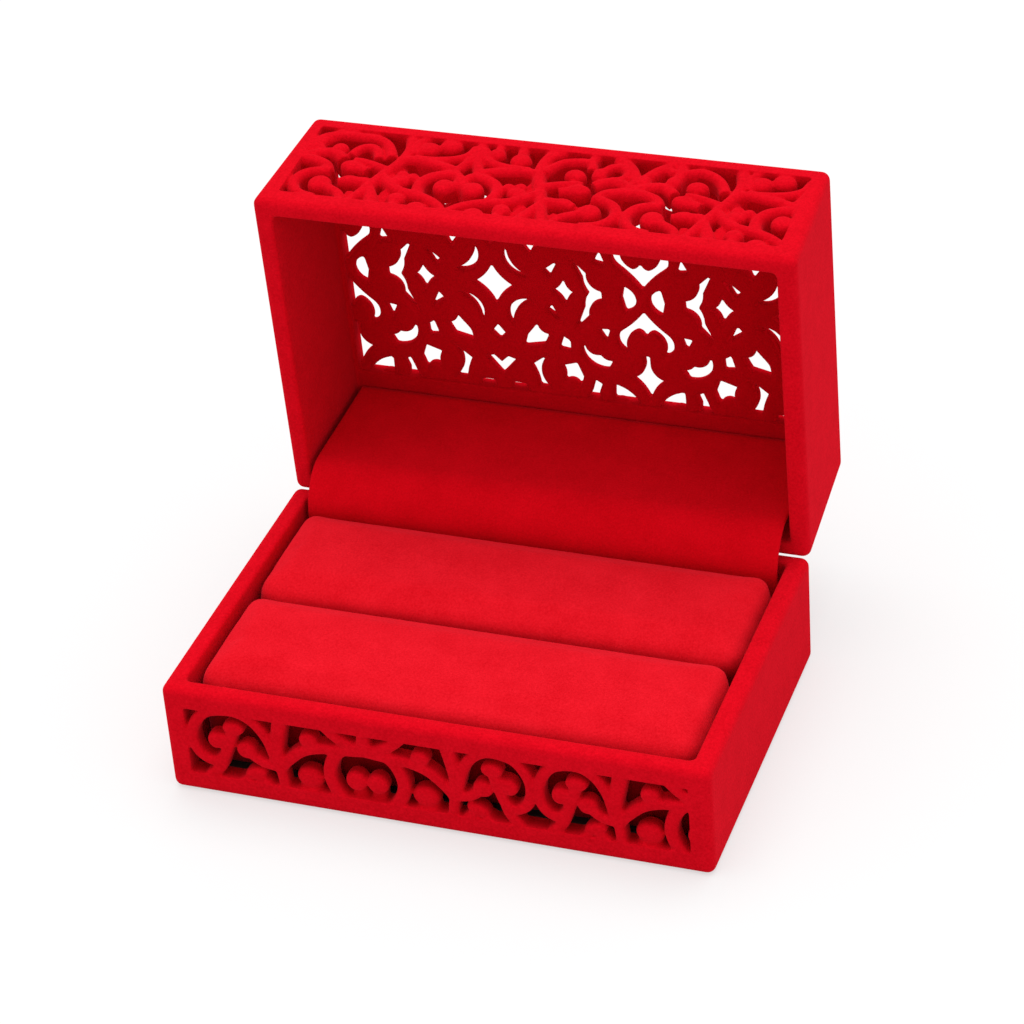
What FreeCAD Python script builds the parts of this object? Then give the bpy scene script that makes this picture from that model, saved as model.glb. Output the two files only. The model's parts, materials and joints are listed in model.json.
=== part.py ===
"""Hinged ring presentation box with pierced scroll panels, padded ring rolls and a velvet hinge cover.

Millimetres. The origin is the centre of the base's underside, +X is the box's width,
+Y points to the hinge side and +Z is up. The lid stands open, as the box is shown.
"""
import FreeCAD, Part
import math
import os

V = FreeCAD.Vector

# Outer sizes of the closed box
box_width = 90.0
box_depth = 58.5
base_height = 20.0
lid_height = 26.0
lid_taper = 1.2
lid_open_angle = 86.0
parting_gap = 0.4
edge_radius = 1.4
rim_radius = 0.6
corner_radius = 1.0

# Walls
side_wall = 3.3
front_wall = 2.9
back_wall = 2.8
floor_thickness = 1.8
lid_top_wall = 2.6

# Pierced panels and the windows that they fill
panel_border = 0.8
panel_clearance = 0.05
front_panel_thickness = 2.2
top_panel_thickness = 2.0
window_side_margin = 3.6
base_window_bottom = 3.8
base_window_top = 3.6
lid_window_bottom = 3.6
lid_window_top = 2.8
top_window_side_margin = 4.0
top_window_front = 7.75
top_window_back = 8.75
least_gap_area = 0.35

# Where each panel's repeat has its first mirror line, and the distance between mirror lines
base_repeat = 27.9
base_repeat_start = -11.6
lid_front_repeat = 27.9
lid_front_repeat_start = -13.4
lid_top_repeat = 26.1
lid_top_repeat_start = -14.8

# Ring insert
board_thickness = 1.0
board_clearance = 0.3
roll_end_gap = 0.5
roll_front_gap = 1.15
roll_slit = 0.4
roll_flap_gap = 0.4
roll_proud = 1.2
roll_end_radius = 2.4
roll_crown = 0.7
roll_shoulder = 2.4
roll_shoulder_drop = 2.8
roll_waist = 0.6
velvet_thickness = 0.6
foam_clearance = 0.1

# Hinge cover flap
flap_thickness = 0.8
flap_end_gap = 0.9
flap_hinge_room = 2.05
flap_rise = 1.5
flap_lift = 3.0
flap_tip_lift = 2.2
flap_tip_clearance = 0.3
flap_lower_bend = 8.0
flap_upper_bend = 6.0

# Spring hinge
hinge_width = 32.0
knuckle_count = 5
knuckle_play = 0.3
knuckle_inset = 0.05
knuckle_room = 0.35
swing_clearance = 0.3
pin_radius = 0.4
pin_clearance = 0.05
leaf_thickness = 0.5
leaf_height = 9.0
leaf_room = 0.2
spring_width = 8.0
spring_thickness = 0.3
spring_clearance = 0.05
spring_bend = 3.0
spring_end_margin = 1.0
rivet_spread = 22.0
rivet_radius = 0.6
rivet_clearance = 0.05
rivet_head_radius = 1.1
rivet_head_height = 0.4
rivet_depth = 1.6

# Places that follow from the sizes above
half_width = box_width / 2
half_depth = box_depth / 2
lid_rim = base_height + parting_gap
lid_top = lid_rim + lid_height
inner_half_width = half_width - side_wall
inner_front = -half_depth + front_wall
inner_back = half_depth - back_wall
board_top = floor_thickness + board_thickness

# The pin stands far enough inside the back for the two rounded back edges to pass each other
hinge_inset = 2 * edge_radius + parting_gap / 2 - (2 * edge_radius + swing_clearance) / math.sqrt(2)
hinge_y = half_depth - hinge_inset
hinge_z = base_height + parting_gap / 2
knuckle_radius = hinge_inset - knuckle_inset

flap_back = inner_back - flap_hinge_room
flap_front = flap_back - flap_thickness
flap_half_width = inner_half_width - flap_end_gap
roll_width = (flap_front - roll_flap_gap - roll_slit - roll_front_gap - inner_front) / 2
roll_half_length = inner_half_width - roll_end_gap
roll_top = base_height + roll_proud


def bend(u, v):
    """Middle point of an arc in an outline, between the corner before it and the corner after it."""
    return (u, v, True)


# Gaps of the base's front strip, measured from its first mirror line and from the base's underside.
# A gap that lies on a mirror line is given by one half, which starts and ends on that line.
BASE_GAPS_ON_FIRST_LINE = [
    [(0, 12.9), bend(3.8, 11.4), (5.3, 7.6), bend(4.9, 5.5), (3.6, 4.0), bend(3.8, 7.4), (1.7, 9.8),
     bend(0.6, 9.4), (0, 8.5)],
]
BASE_GAPS_ON_SECOND_LINE = [
    [(0, 7.5), (1.6, 5.6), (2.3, 3.0), (0, 3.0)],
    [(0, 14.6), (0.9, 17.5), (0, 17.5)],
]
BASE_GAPS = [
    [(4.3, 17.5), (1.3, 17.5), (2.6, 14.5)],
    [(4.4, 13.4), (6.3, 17.5), (11.8, 17.5), bend(12.3, 14.0), (14.1, 9.2), bend(12.7, 11.0), (10.8, 12.9),
     bend(11.0, 15.2), (9.3, 15.8), bend(7.5, 15.0), (7.9, 12.9)],
    [(11.6, 8.0), bend(9.4, 9.8), (6.8, 10.3), bend(7.9, 7.2), (7.0, 3.0), (8.0, 3.0), bend(8.3, 6.2),
     (9.4, 8.2)],
    [(11.2, 4.3), (11.4, 5.6), (12.4, 5.9), (13.0, 4.3)],
    [(15.2, 4.2), (15.3, 6.0), (17.3, 6.1), (18.0, 4.2)],
    [(18.0, 15.1), bend(16.6, 12.4), (16.3, 9.5), bend(17.7, 11.4), (20.0, 12.2), (19.3, 13.6)],
    [(15.4, 17.5), (17.6, 17.5), (15.5, 14.6)],
    [(21.1, 9.8), (18.8, 7.1), (20.3, 5.2), (20.4, 3.0), (24.1, 3.0), (22.3, 6.9)],
    [(19.4, 16.1), bend(24.4, 15.2), (26.5, 11.0), bend(26.1, 9.0), (24.7, 7.8), bend(25.3, 10.8),
     (24.2, 13.0), (22.9, 13.6), bend(22.3, 15.0), (20.8, 15.5)],
]

# Gaps of the lid's front panel, measured from its first mirror line and from the lid's rim
LID_FRONT_GAPS_ON_FIRST_LINE = [
    [(0, 17.2), (1.6, 15.9), (0, 12.2)],
    [(0, 10.2), (0.7, 8.6), (1.9, 6.4), (0, 3.9)],
]
LID_FRONT_GAPS_ON_SECOND_LINE = [
    [(0, 8.8), (1.7, 11.4), (2.6, 12.4), (0, 12.8)],
    [(0, 16.0), (0.9, 18.6), (0, 19.0)],
    [(0, 20.0), (1.2, 22.6), (0, 23.0)],
]
LID_FRONT_GAPS = [
    [(3.7, 11.7), bend(5.3, 9.8), (4.2, 7.8), (2.6, 7.0), (2.4, 8.3), bend(4.0, 9.4)],
    [(4.8, 15.1), (9.1, 16.5), (9.7, 13.6), (8.1, 12.5), (6.8, 14.0)],
    [(7.2, 10.6), (10.9, 10.4), (8.0, 8.1)],
    [(13.2, 9.6), (13.3, 7.5), (11.2, 4.2), (10.5, 5.6), (9.8, 7.3)],
    [(4.7, 6.1), (7.3, 6.5), (7.8, 3.0), (6.4, 3.0)],
    [(15.2, 9.8), (17.7, 5.1), (16.8, 4.6), (14.7, 8.0)],
    [(24.2, 9.4), bend(25.9, 6.8), (23.8, 4.8), (18.8, 4.0), (21.6, 5.8), bend(23.9, 6.9)],
    [(17.3, 11.4), (19.8, 10.0), (20.5, 8.8), (22.0, 11.2), (22.3, 12.8), (20.8, 14.4), (20.0, 13.0),
     (17.6, 12.8)],
    [(18.7, 20.0), (19.5, 20.0), (20.8, 15.6), (20.0, 15.6)],
    [(14.4, 13.7), (16.6, 14.0), (15.5, 11.3)],
    [(13.5, 20.4), bend(12.8, 17.2), (13.8, 15.1), (15.6, 15.2), (15.7, 17.0), (14.3, 18.2)],
    [(22.2, 19.5), bend(22.7, 20.5), (23.6, 20.6), bend(24.7, 20.1), (24.9, 19.0), bend(24.3, 18.1),
     (23.4, 17.9), bend(22.4, 18.5)],
    [(13.9, 21.3), (15.5, 22.7), (19.0, 22.8), (18.8, 21.4), (16.3, 21.6)],
    [(8.5, 22.2), (10.8, 20.4), (10.3, 17.6), (8.3, 18.4)],
    [(0.8, 22.4), bend(2.0, 19.6), (5.8, 18.4), (5.4, 19.8), bend(2.9, 20.9), (2.2, 22.6)],
    [(4.9, 21.6), (5.6, 22.9), (6.6, 22.9), (6.4, 21.2)],
    [(24.6, 24.5), (26.2, 21.2), (26.0, 18.0), (25.7, 21.0), (23.4, 24.5)],
    [(25.8, 3.0), (26.9, 6.4), (27.3, 3.0)],
]

# Gaps of the lid's top panel, measured from its first mirror line and from the panel's middle.
# The panel is the same in front of its middle and behind it.
LID_TOP_GAPS_ON_FIRST_LINE = [
    [(0, 3.8), bend(1.4, 1.6), (3.4, 0), bend(1.4, -1.6), (0, -3.8)],
    [(0, 11.1), (1.1, 9.9), (0, 8.3)],
    [(0, 18.2), (2.5, 15.2), (1.3, 14.8), (0, 16.1)],
]
LID_TOP_GAPS_ON_SECOND_LINE = [
    [(0, 2.4), bend(2.2, 5.0), (3.8, 6.4), bend(4.75, 8.3), (3.3, 10.6), bend(2.9, 7.2), (1.4, 6.1),
     bend(0.6, 6.4), (0, 7.3)],
    [(0, 19.7), bend(1.2, 17.4), (2.7, 16.0), bend(0.9, 14.7), (0.3, 12.8), (0.3, 11.3), (0, 11.3)],
]
LID_TOP_GAPS_ON_MIDDLE = [
    [(10.4, 0), bend(11.7, -1.0), (12.45, -2.35), bend(12.9, -1.0), (14.0, 0), bend(12.9, 1.0), (12.45, 2.35),
     bend(11.7, 1.0)],
    [(18.8, -0.85), (18.8, 0.85), bend(16.9, 2.0), (16.35, 4.3), (14.1, 6.7), (15.8, 3.0), bend(16.0, 1.4),
     (16.7, 0), bend(16.0, -1.4), (15.8, -3.0), (14.1, -6.7), (16.35, -4.3), bend(16.9, -2.0)],
    [(22.5, 0), (23.0, -2.4), bend(24.4, -1.3), (24.8, 0), bend(24.4, 1.3), (23.0, 2.4)],
]
LID_TOP_GAPS = [
    [(2.75, 7.5), bend(2.9, 3.9), (6.3, 2.45), bend(3.6, 4.5)],
    [(9.3, 4.0), (10.0, 3.1), (11.5, 5.9)],
    [(15.1, 10.0), bend(15.5, 13.3), (18.9, 14.8), (19.9, 13.1), bend(18.6, 12.9), (17.9, 12.2),
     bend(16.2, 12.0)],
    [(18.1, 6.8), (19.8, 6.6), (19.1, 8.8)],
    [(10.9, 11.7), (12.5, 11.8), (12.6, 10.0), (11.6, 9.1)],
    [(4.6, 12.0), (7.9, 11.1), (8.9, 9.1), bend(7.7, 8.6), (7.0, 7.1), (5.1, 10.0)],
    [(11.3, 18.1), bend(12.5, 17.8), (13.8, 18.9), (14.4, 17.0), (13.5, 14.4), (10.9, 15.3), bend(11.4, 16.7)],
    [(8.3, 20.0), (6.7, 20.0), bend(6.3, 18.0), (5.5, 15.9), (8.3, 13.5), bend(6.9, 16.9)],
    [(14.6, 22.5), (17.2, 22.5), (17.0, 19.8), (17.6, 18.1), (16.7, 17.5), (15.9, 20.0)],
    [(20.0, 20.7), bend(22.0, 20.8), (23.2, 22.5), (24.6, 22.5), bend(22.9, 19.4), (20.1, 17.9)],
    [(1.6, 22.5), (1.8, 20.0), (3.9, 20.1), (4.2, 22.5)],
]


def box(x0, x1, y0, y1, z0, z1):
    """Solid box between two corners."""
    return Part.makeBox(x1 - x0, y1 - y0, z1 - z0, V(x0, y0, z0))


def cylinder_x(x0, x1, y, z, radius):
    """Cylinder along X."""
    return Part.makeCylinder(radius, x1 - x0, V(x0, y, z), V(1, 0, 0))


def rectangle(x_half, y0, y1, z):
    """Closed rectangle at one height, centred on X."""
    corners = [V(-x_half, y0, z), V(x_half, y0, z), V(x_half, y1, z), V(-x_half, y1, z)]
    return Part.makePolygon(corners + corners[:1])


def opened(shape):
    """Turn a shape of the closed lid about the pin into the open pose."""
    turned = shape.copy()
    turned.rotate(V(0, hinge_y, hinge_z), V(-1, 0, 0), lid_open_angle)
    return turned


def opened_point(y, z):
    """Where a point of the closed lid, seen from the side, comes to lie when the lid is open."""
    turn = math.radians(lid_open_angle)
    dy = y - hinge_y
    dz = z - hinge_z
    return (
        hinge_y + dy * math.cos(turn) + dz * math.sin(turn),
        hinge_z - dy * math.sin(turn) + dz * math.cos(turn),
    )


def outline_face(points, place):
    """Flat face inside an outline of corners and arc middles; place turns (u, v) into a point in space."""
    edges = []
    count = len(points)
    for i, point in enumerate(points):
        if len(point) == 3:
            continue
        after = points[(i + 1) % count]
        start = place(point[0], point[1])
        if len(after) == 3:
            end = points[(i + 2) % count]
            arc = Part.Arc(start, place(after[0], after[1]), place(end[0], end[1]))
            edges.append(arc.toShape())
        else:
            edges.append(Part.makeLine(start, place(after[0], after[1])))
    return Part.Face(Part.Wire(edges))


def flipped(points, sign_u, sign_v):
    """Outline mirrored in u, in v or in both."""
    return [(sign_u * p[0], sign_v * p[1]) + tuple(p[2:]) for p in points]


def whole(half):
    """Full outline of a gap whose half starts and ends on its mirror line."""
    other = flipped(half, -1, 1)[::-1]
    return half + [p for p in other if p[0] != 0]


def pattern(first_line, second_line, between, both_ends, repeat, start, reach):
    """All outlines of a mirrored repeat that can meet a window of the given reach.

    first_line and second_line hold half gaps on the two mirror lines, between holds the gaps
    from one line to the next, and both_ends adds the copies mirrored in v.
    """
    outlines = []
    turns = (1, -1) if both_ends else (1,)
    copies = int(reach / (2 * repeat)) + 2
    for k in range(-copies, copies + 1):
        line = start + 2 * k * repeat
        for sign_v in turns:
            groups = [(line, whole(half)) for half in first_line]
            groups += [(line + repeat, whole(half)) for half in second_line]
            groups += [(line, gap) for gap in between]
            groups += [(line, flipped(gap, -1, 1)) for gap in between]
            for centre, gap in groups:
                outlines.append([(centre + p[0], sign_v * p[1]) + tuple(p[2:]) for p in gap])
    return outlines


def pierced_panel(outlines, place, window, thickness_vector):
    """Plate round a window, pierced by the outlines, which the window's edge cuts off."""
    u0, u1, v0, v1 = window
    window_corners = [(u0, v0), (u1, v0), (u1, v1), (u0, v1)]
    window_face = outline_face(window_corners, place)
    b = panel_border - panel_clearance
    plate = outline_face([(u0 - b, v0 - b), (u1 + b, v0 - b), (u1 + b, v1 + b), (u0 - b, v1 + b)], place)
    gaps = []
    seen = set()
    for points in outlines:
        us = [p[0] for p in points]
        vs = [p[1] for p in points]
        if max(us) < u0 or min(us) > u1 or max(vs) < v0 or min(vs) > v1:
            continue
        key = (round(sum(us), 3), round(sum(vs), 3))
        if key in seen:
            continue
        seen.add(key)
        clipped = outline_face(points, place).common(window_face)
        gaps += [face for face in clipped.Faces if face.Area > least_gap_area]
    return plate.cut(gaps).extrude(thickness_vector)


def front_place(y, z0):
    """Panel coordinates of an upright panel that faces the front."""
    return lambda u, v: V(u, y, z0 + v)


def top_place(y0, z):
    """Panel coordinates of a level panel."""
    return lambda u, v: V(u, y0 + v, z)


def window_cuts(window, panel_thickness, place, inward):
    """Rebate for a panel and, behind it, the smaller window that leaves a ledge."""
    u0, u1, v0, v1 = window
    b = panel_border
    seat = outline_face([(u0 - b, v0 - b), (u1 + b, v0 - b), (u1 + b, v1 + b), (u0 - b, v1 + b)], place)
    through = outline_face([(u0, v0), (u1, v0), (u1, v1), (u0, v1)], place)
    deep = max(front_wall, lid_top_wall) + panel_thickness
    return [seat.extrude(inward * panel_thickness), through.extrude(inward * deep)]


def edges_at_height(shape, z, inside_of):
    """Edges of a shape that lie at one height, inside a rectangle of half width and y range."""
    x_half, y0, y1 = inside_of
    chosen = []
    for edge in shape.Edges:
        bound = edge.BoundBox
        level = abs(bound.ZMin - z) < 1e-6 and abs(bound.ZMax - z) < 1e-6
        inside = bound.XMin > -x_half and bound.XMax < x_half and bound.YMin > y0 and bound.YMax < y1
        if level and inside:
            chosen.append(edge)
    return chosen


def cavity(z0, z1):
    """Inside of the tray or lid, with rounded upright corners."""
    block = box(-inner_half_width, inner_half_width, inner_front, inner_back, z0, z1)
    upright = [e for e in block.Edges if e.BoundBox.ZLength > (z1 - z0) / 2]
    return block.makeFillet(corner_radius, upright)


def hollowed(outer, z0, z1, rim_z):
    """Rounded outer block with its inside cut out and the rim's inner edge rounded."""
    rounded = outer.makeFillet(edge_radius, outer.Edges)
    shell = rounded.cut(cavity(z0, z1))
    rim = edges_at_height(
        shell, rim_z, (half_width - side_wall / 2, -half_depth + front_wall / 2, half_depth - back_wall / 2)
    )
    return shell.makeFillet(rim_radius, rim)


def hinge_recess(towards_base):
    """Room in a back rim for the knuckles and the leaf's strip, for the base or for the closed lid."""
    reach = hinge_width / 2 + leaf_room
    barrel = cylinder_x(-reach, reach, hinge_y, hinge_z, knuckle_radius + knuckle_room)
    overlap = parting_gap
    if towards_base:
        z0, z1 = hinge_z - knuckle_radius, base_height + overlap
    else:
        z0, z1 = lid_rim - overlap, hinge_z + knuckle_radius
    strip = box(-reach, reach, inner_back - overlap, hinge_y, z0, z1)
    return barrel.fuse(strip)


def rivet_places(towards_base):
    """Centres of a leaf's rivets, as x and z in the closed box."""
    drop = knuckle_radius + leaf_height / 2
    z = hinge_z - drop if towards_base else hinge_z + drop
    return [(-rivet_spread / 2, z), (rivet_spread / 2, z)]


def rivet_bores(towards_base):
    """Holes for a leaf's rivets, from the leaf into the back wall."""
    depth = leaf_thickness + rivet_depth + rivet_clearance
    start = inner_back - leaf_thickness
    radius = rivet_radius + rivet_clearance
    places = rivet_places(towards_base)
    return [Part.makeCylinder(radius, depth, V(x, start, z), V(0, 1, 0)) for x, z in places]


def rivets(towards_base):
    """Headed rivets of one leaf, a group of separate solids."""
    solids = []
    head_y = inner_back - leaf_thickness - rivet_head_height
    for x, z in rivet_places(towards_base):
        head = Part.makeCylinder(rivet_head_radius, rivet_head_height, V(x, head_y, z), V(0, 1, 0))
        front = [e for e in head.Edges if e.BoundBox.YMax < head_y + rivet_head_height / 2]
        shank_length = leaf_thickness + rivet_depth
        shank = Part.makeCylinder(rivet_radius, shank_length, V(x, head_y + rivet_head_height, z), V(0, 1, 0))
        rounded = head.makeFillet(rivet_head_height / 2, front)
        solids.append(rounded.fuse(shank).removeSplitter())
    return Part.makeCompound(solids)


def hinge_leaf(towards_base):
    """Stamped leaf: an upright plate inside the back wall, a strip across the rim and rolled knuckles."""
    half = hinge_width / 2
    pitch = (hinge_width + knuckle_play) / knuckle_count
    sign = -1 if towards_base else 1
    strip_far = hinge_z + sign * knuckle_radius
    strip_near = strip_far - sign * leaf_thickness
    plate_end = hinge_z + sign * (knuckle_radius + leaf_height)
    z0, z1 = sorted((strip_far, strip_near))
    p0, p1 = sorted((strip_near, plate_end))
    leaf = box(-half, half, inner_back - leaf_thickness, inner_back, p0, p1)
    strip_end = hinge_y - knuckle_radius - knuckle_room
    leaf = leaf.fuse(box(-half, half, inner_back - leaf_thickness, strip_end, z0, z1))
    for k in range(knuckle_count):
        if (k % 2 == 0) != towards_base:
            continue
        x0 = -half + k * pitch
        x1 = x0 + pitch - knuckle_play
        tab = box(x0, x1, strip_end - leaf_thickness, hinge_y, z0, z1)
        leaf = leaf.fuse([tab, cylinder_x(x0, x1, hinge_y, hinge_z, knuckle_radius)])
    bore = cylinder_x(-half - 1, half + 1, hinge_y, hinge_z, pin_radius + pin_clearance)
    return leaf.cut([bore] + rivet_bores(towards_base)).removeSplitter()


def rounded_path(corners, radii, x):
    """Edges of an open path of straight runs, with an arc of its own radius at each inner corner."""
    edges = []
    start = V(x, *corners[0])
    for i, radius in enumerate(radii, start=1):
        corner = V(x, *corners[i])
        back = (V(x, *corners[i - 1]) - corner).normalize()
        ahead = (V(x, *corners[i + 1]) - corner).normalize()
        half_turn = (math.pi - back.getAngle(ahead)) / 2
        tangent = radius * math.tan(half_turn)
        arc_start = corner + back * tangent
        arc_end = corner + ahead * tangent
        inward = (back + ahead).normalize()
        middle = corner + inward * (radius / math.cos(half_turn) - radius)
        edges.append(Part.makeLine(start, arc_start))
        edges.append(Part.Arc(arc_start, middle, arc_end).toShape())
        start = arc_end
    edges.append(Part.makeLine(start, V(x, *corners[-1])))
    return edges


def offset_corners(corners, distance):
    """Corners of a path that runs at a distance to the right of a path in the YZ plane."""
    normals = []
    for a, b in zip(corners, corners[1:]):
        length = math.hypot(b[0] - a[0], b[1] - a[1])
        normals.append(((b[1] - a[1]) / length, -(b[0] - a[0]) / length))
    moved = [(corners[0][0] + distance * normals[0][0], corners[0][1] + distance * normals[0][1])]
    for corner, n, m in zip(corners[1:], normals, normals[1:]):
        scale = distance / (1 + n[0] * m[0] + n[1] * m[1])
        moved.append((corner[0] + scale * (n[0] + m[0]), corner[1] + scale * (n[1] + m[1])))
    last = normals[-1]
    moved.append((corners[-1][0] + distance * last[0], corners[-1][1] + distance * last[1]))
    return moved


def bent_strip(corners, radii, thickness, half):
    """Sheet of one thickness bent along a path, centred on X; radii belong to its outer face."""
    outer = rounded_path(corners, radii, -half)
    inner = rounded_path(offset_corners(corners, thickness), [r - thickness for r in radii], -half)
    start = Part.makeLine(outer[0].Vertexes[0].Point, inner[0].Vertexes[0].Point)
    end = Part.makeLine(outer[-1].Vertexes[-1].Point, inner[-1].Vertexes[-1].Point)
    wire = Part.Wire(Part.__sortEdges__(outer + inner + [start, end]))
    return Part.Face(wire).extrude(V(2 * half, 0, 0))


def roll_section(x, middle, inset, bottom):
    """Cross-section of a ring roll: crowned top, round shoulders and sides drawn in towards the foot."""
    half = roll_width / 2 - inset
    foot = half - roll_waist
    top = roll_top - inset
    shoulder_top = top - roll_crown
    shoulder = shoulder_top - roll_shoulder_drop
    crown_half = half - roll_shoulder
    belly = (bottom + shoulder) / 2
    round_off = math.sqrt(0.5)
    knee_y = crown_half + (half - crown_half) * round_off
    knee_z = shoulder + (shoulder_top - shoulder) * round_off

    def at(y, z):
        return V(x, middle + y, z)

    edges = [
        Part.makeLine(at(foot, bottom), at(-foot, bottom)),
        Part.Arc(at(-foot, bottom), at(-half + roll_waist / 6, belly), at(-half, shoulder)).toShape(),
        Part.Arc(at(-half, shoulder), at(-knee_y, knee_z), at(-crown_half, shoulder_top)).toShape(),
        Part.Arc(at(-crown_half, shoulder_top), at(0, top), at(crown_half, shoulder_top)).toShape(),
        Part.Arc(at(crown_half, shoulder_top), at(knee_y, knee_z), at(half, shoulder)).toShape(),
        Part.Arc(at(half, shoulder), at(half - roll_waist / 6, belly), at(foot, bottom)).toShape(),
    ]
    return Part.Wire(edges)


def roll_body(middle, inset, bottom):
    """Ring roll of the full length with rounded ends, drawn in all round by an inset."""
    steps = 5
    half = roll_half_length - inset
    sections = []
    for side in (-1, 1):
        ends = []
        for k in range(steps):
            angle = math.pi / 2 * k / (steps - 1)
            from_end = roll_end_radius * (1 - math.cos(angle))
            drawn_in = roll_end_radius * (1 - math.sin(angle))
            ends.append(roll_section(side * (half - from_end), middle, inset + drawn_in, bottom))
        sections += ends if side < 0 else ends[::-1]
    return Part.makeLoft(sections, True, True)


def ring_roll(middle):
    """Velvet cover and foam core of one ring roll."""
    below = board_top - velvet_thickness
    cover = roll_body(middle, 0.0, board_top).cut(roll_body(middle, velvet_thickness, below))
    core = roll_body(middle, velvet_thickness + foam_clearance, board_top)
    return cover, core


def base_shell():
    """Tray of the base: rounded block, inside, front window and hinge recess."""
    outer = box(-half_width, half_width, -half_depth, half_depth, 0, base_height)
    shell = hollowed(outer, floor_thickness, base_height + rim_radius, base_height)
    cuts = window_cuts(base_window, front_panel_thickness, front_place(-half_depth, 0), V(0, 1, 0))
    return shell.cut(cuts + [hinge_recess(True)] + rivet_bores(True))


def lid_shell():
    """Lid in the closed pose: block with leaning ends, inside, two windows and hinge recess."""
    rim = rectangle(half_width, -half_depth, half_depth, lid_rim)
    top = rectangle(half_width - lid_taper, -half_depth, half_depth, lid_top)
    outer = Part.makeLoft([rim, top], True, True)
    shell = hollowed(outer, lid_rim - rim_radius, lid_top - lid_top_wall, lid_rim)
    cuts = window_cuts(lid_front_window, front_panel_thickness, front_place(-half_depth, lid_rim), V(0, 1, 0))
    cuts += window_cuts(lid_top_window, top_panel_thickness, top_place(top_middle, lid_top), V(0, 0, -1))
    return shell.cut(cuts + [hinge_recess(False)] + rivet_bores(False))


# Windows as u and v limits in their panels
window_half = half_width - window_side_margin
base_window = (-window_half, window_half, base_window_bottom, base_height - base_window_top)
lid_front_window = (-window_half, window_half, lid_window_bottom, lid_height - lid_window_top)
top_window_half = half_width - top_window_side_margin
top_middle = (top_window_front - top_window_back) / 2
top_half_depth = (box_depth - top_window_front - top_window_back) / 2
lid_top_window = (-top_window_half, top_window_half, -top_half_depth, top_half_depth)

nodes = {}
nodes["base_shell"] = base_shell()
nodes["lid_shell"] = opened(lid_shell())

base_outlines = pattern(
    BASE_GAPS_ON_FIRST_LINE,
    BASE_GAPS_ON_SECOND_LINE,
    BASE_GAPS,
    False,
    base_repeat,
    base_repeat_start,
    box_width,
)
nodes["base_front_filigree"] = pierced_panel(
    base_outlines, front_place(-half_depth, 0), base_window, V(0, front_panel_thickness, 0)
)
lid_front_outlines = pattern(
    LID_FRONT_GAPS_ON_FIRST_LINE,
    LID_FRONT_GAPS_ON_SECOND_LINE,
    LID_FRONT_GAPS,
    False,
    lid_front_repeat,
    lid_front_repeat_start,
    box_width,
)
nodes["lid_front_filigree"] = opened(
    pierced_panel(
        lid_front_outlines, front_place(-half_depth, lid_rim), lid_front_window, V(0, front_panel_thickness, 0)
    )
)
lid_top_outlines = pattern(
    LID_TOP_GAPS_ON_FIRST_LINE,
    LID_TOP_GAPS_ON_SECOND_LINE,
    LID_TOP_GAPS_ON_MIDDLE + LID_TOP_GAPS,
    True,
    lid_top_repeat,
    lid_top_repeat_start,
    box_width,
)
nodes["lid_top_filigree"] = opened(
    pierced_panel(
        lid_top_outlines, top_place(top_middle, lid_top), lid_top_window, V(0, 0, -top_panel_thickness)
    )
)

nodes["insert_board"] = box(
    -inner_half_width + board_clearance,
    inner_half_width - board_clearance,
    inner_front + board_clearance,
    inner_back - board_clearance,
    floor_thickness,
    board_top,
)
front_middle = inner_front + roll_front_gap + roll_width / 2
rear_middle = front_middle + roll_width + roll_slit
nodes["front_roll_velvet"], nodes["front_roll_foam"] = ring_roll(front_middle)
nodes["rear_roll_velvet"], nodes["rear_roll_foam"] = ring_roll(rear_middle)

flap_corners = [
    (flap_front, board_top),
    (flap_front, base_height + flap_rise),
    opened_point(inner_back - flap_lift - flap_thickness, hinge_z),
    opened_point(inner_back - flap_tip_lift - flap_thickness, lid_top - lid_top_wall - flap_tip_clearance),
]
nodes["hinge_cover_flap"] = bent_strip(
    flap_corners, [flap_lower_bend, flap_upper_bend], flap_thickness, flap_half_width
)

nodes["hinge_base_leaf"] = hinge_leaf(True)
nodes["hinge_lid_leaf"] = opened(hinge_leaf(False))
nodes["hinge_base_rivets"] = rivets(True)
nodes["hinge_lid_rivets"] = opened(rivets(False))
nodes["hinge_pin"] = cylinder_x(-hinge_width / 2, hinge_width / 2, hinge_y, hinge_z, pin_radius)
spring_face = inner_back - leaf_thickness - spring_clearance - spring_thickness
spring_foot = hinge_z - knuckle_radius - leaf_height + spring_end_margin
spring_tip = hinge_z + knuckle_radius + leaf_height - spring_end_margin
lid_foot = opened_point(spring_face, hinge_z)
lid_tip = opened_point(spring_face, spring_tip)
along = (spring_face - lid_foot[0]) / (lid_tip[0] - lid_foot[0])
spring_corner = (spring_face, lid_foot[1] + along * (lid_tip[1] - lid_foot[1]))
nodes["hinge_spring"] = bent_strip(
    [(spring_face, spring_foot), spring_corner, lid_tip], [spring_bend], spring_thickness, spring_width / 2
)

os.makedirs("parts", exist_ok=True)
for name, shape in nodes.items():
    shape.exportStep("parts/" + name + ".step")
    print(name, "solids", len(shape.Solids), "valid", shape.isValid(), "volume", round(shape.Volume, 2))
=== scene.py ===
"""Dressed model of a hinged ring box.

It has a flocked tray and lid with scroll panels, velvet ring rolls, a hinge cover and a snap hinge.

Metres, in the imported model's own frame: +X is the box's width, +Y points to the hinge and +Z is up.
The lid stands open at rest. Its pieces are made in the closed pose and then turned open about the hinge.
"""

import json
import logging
import math
from contextlib import contextmanager
from dataclasses import dataclass, replace
from enum import Enum
from typing import Iterator, NamedTuple, Sequence

import bmesh
import bpy
import numpy as np
from mathutils import Euler, Matrix, Vector, kdtree

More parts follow.
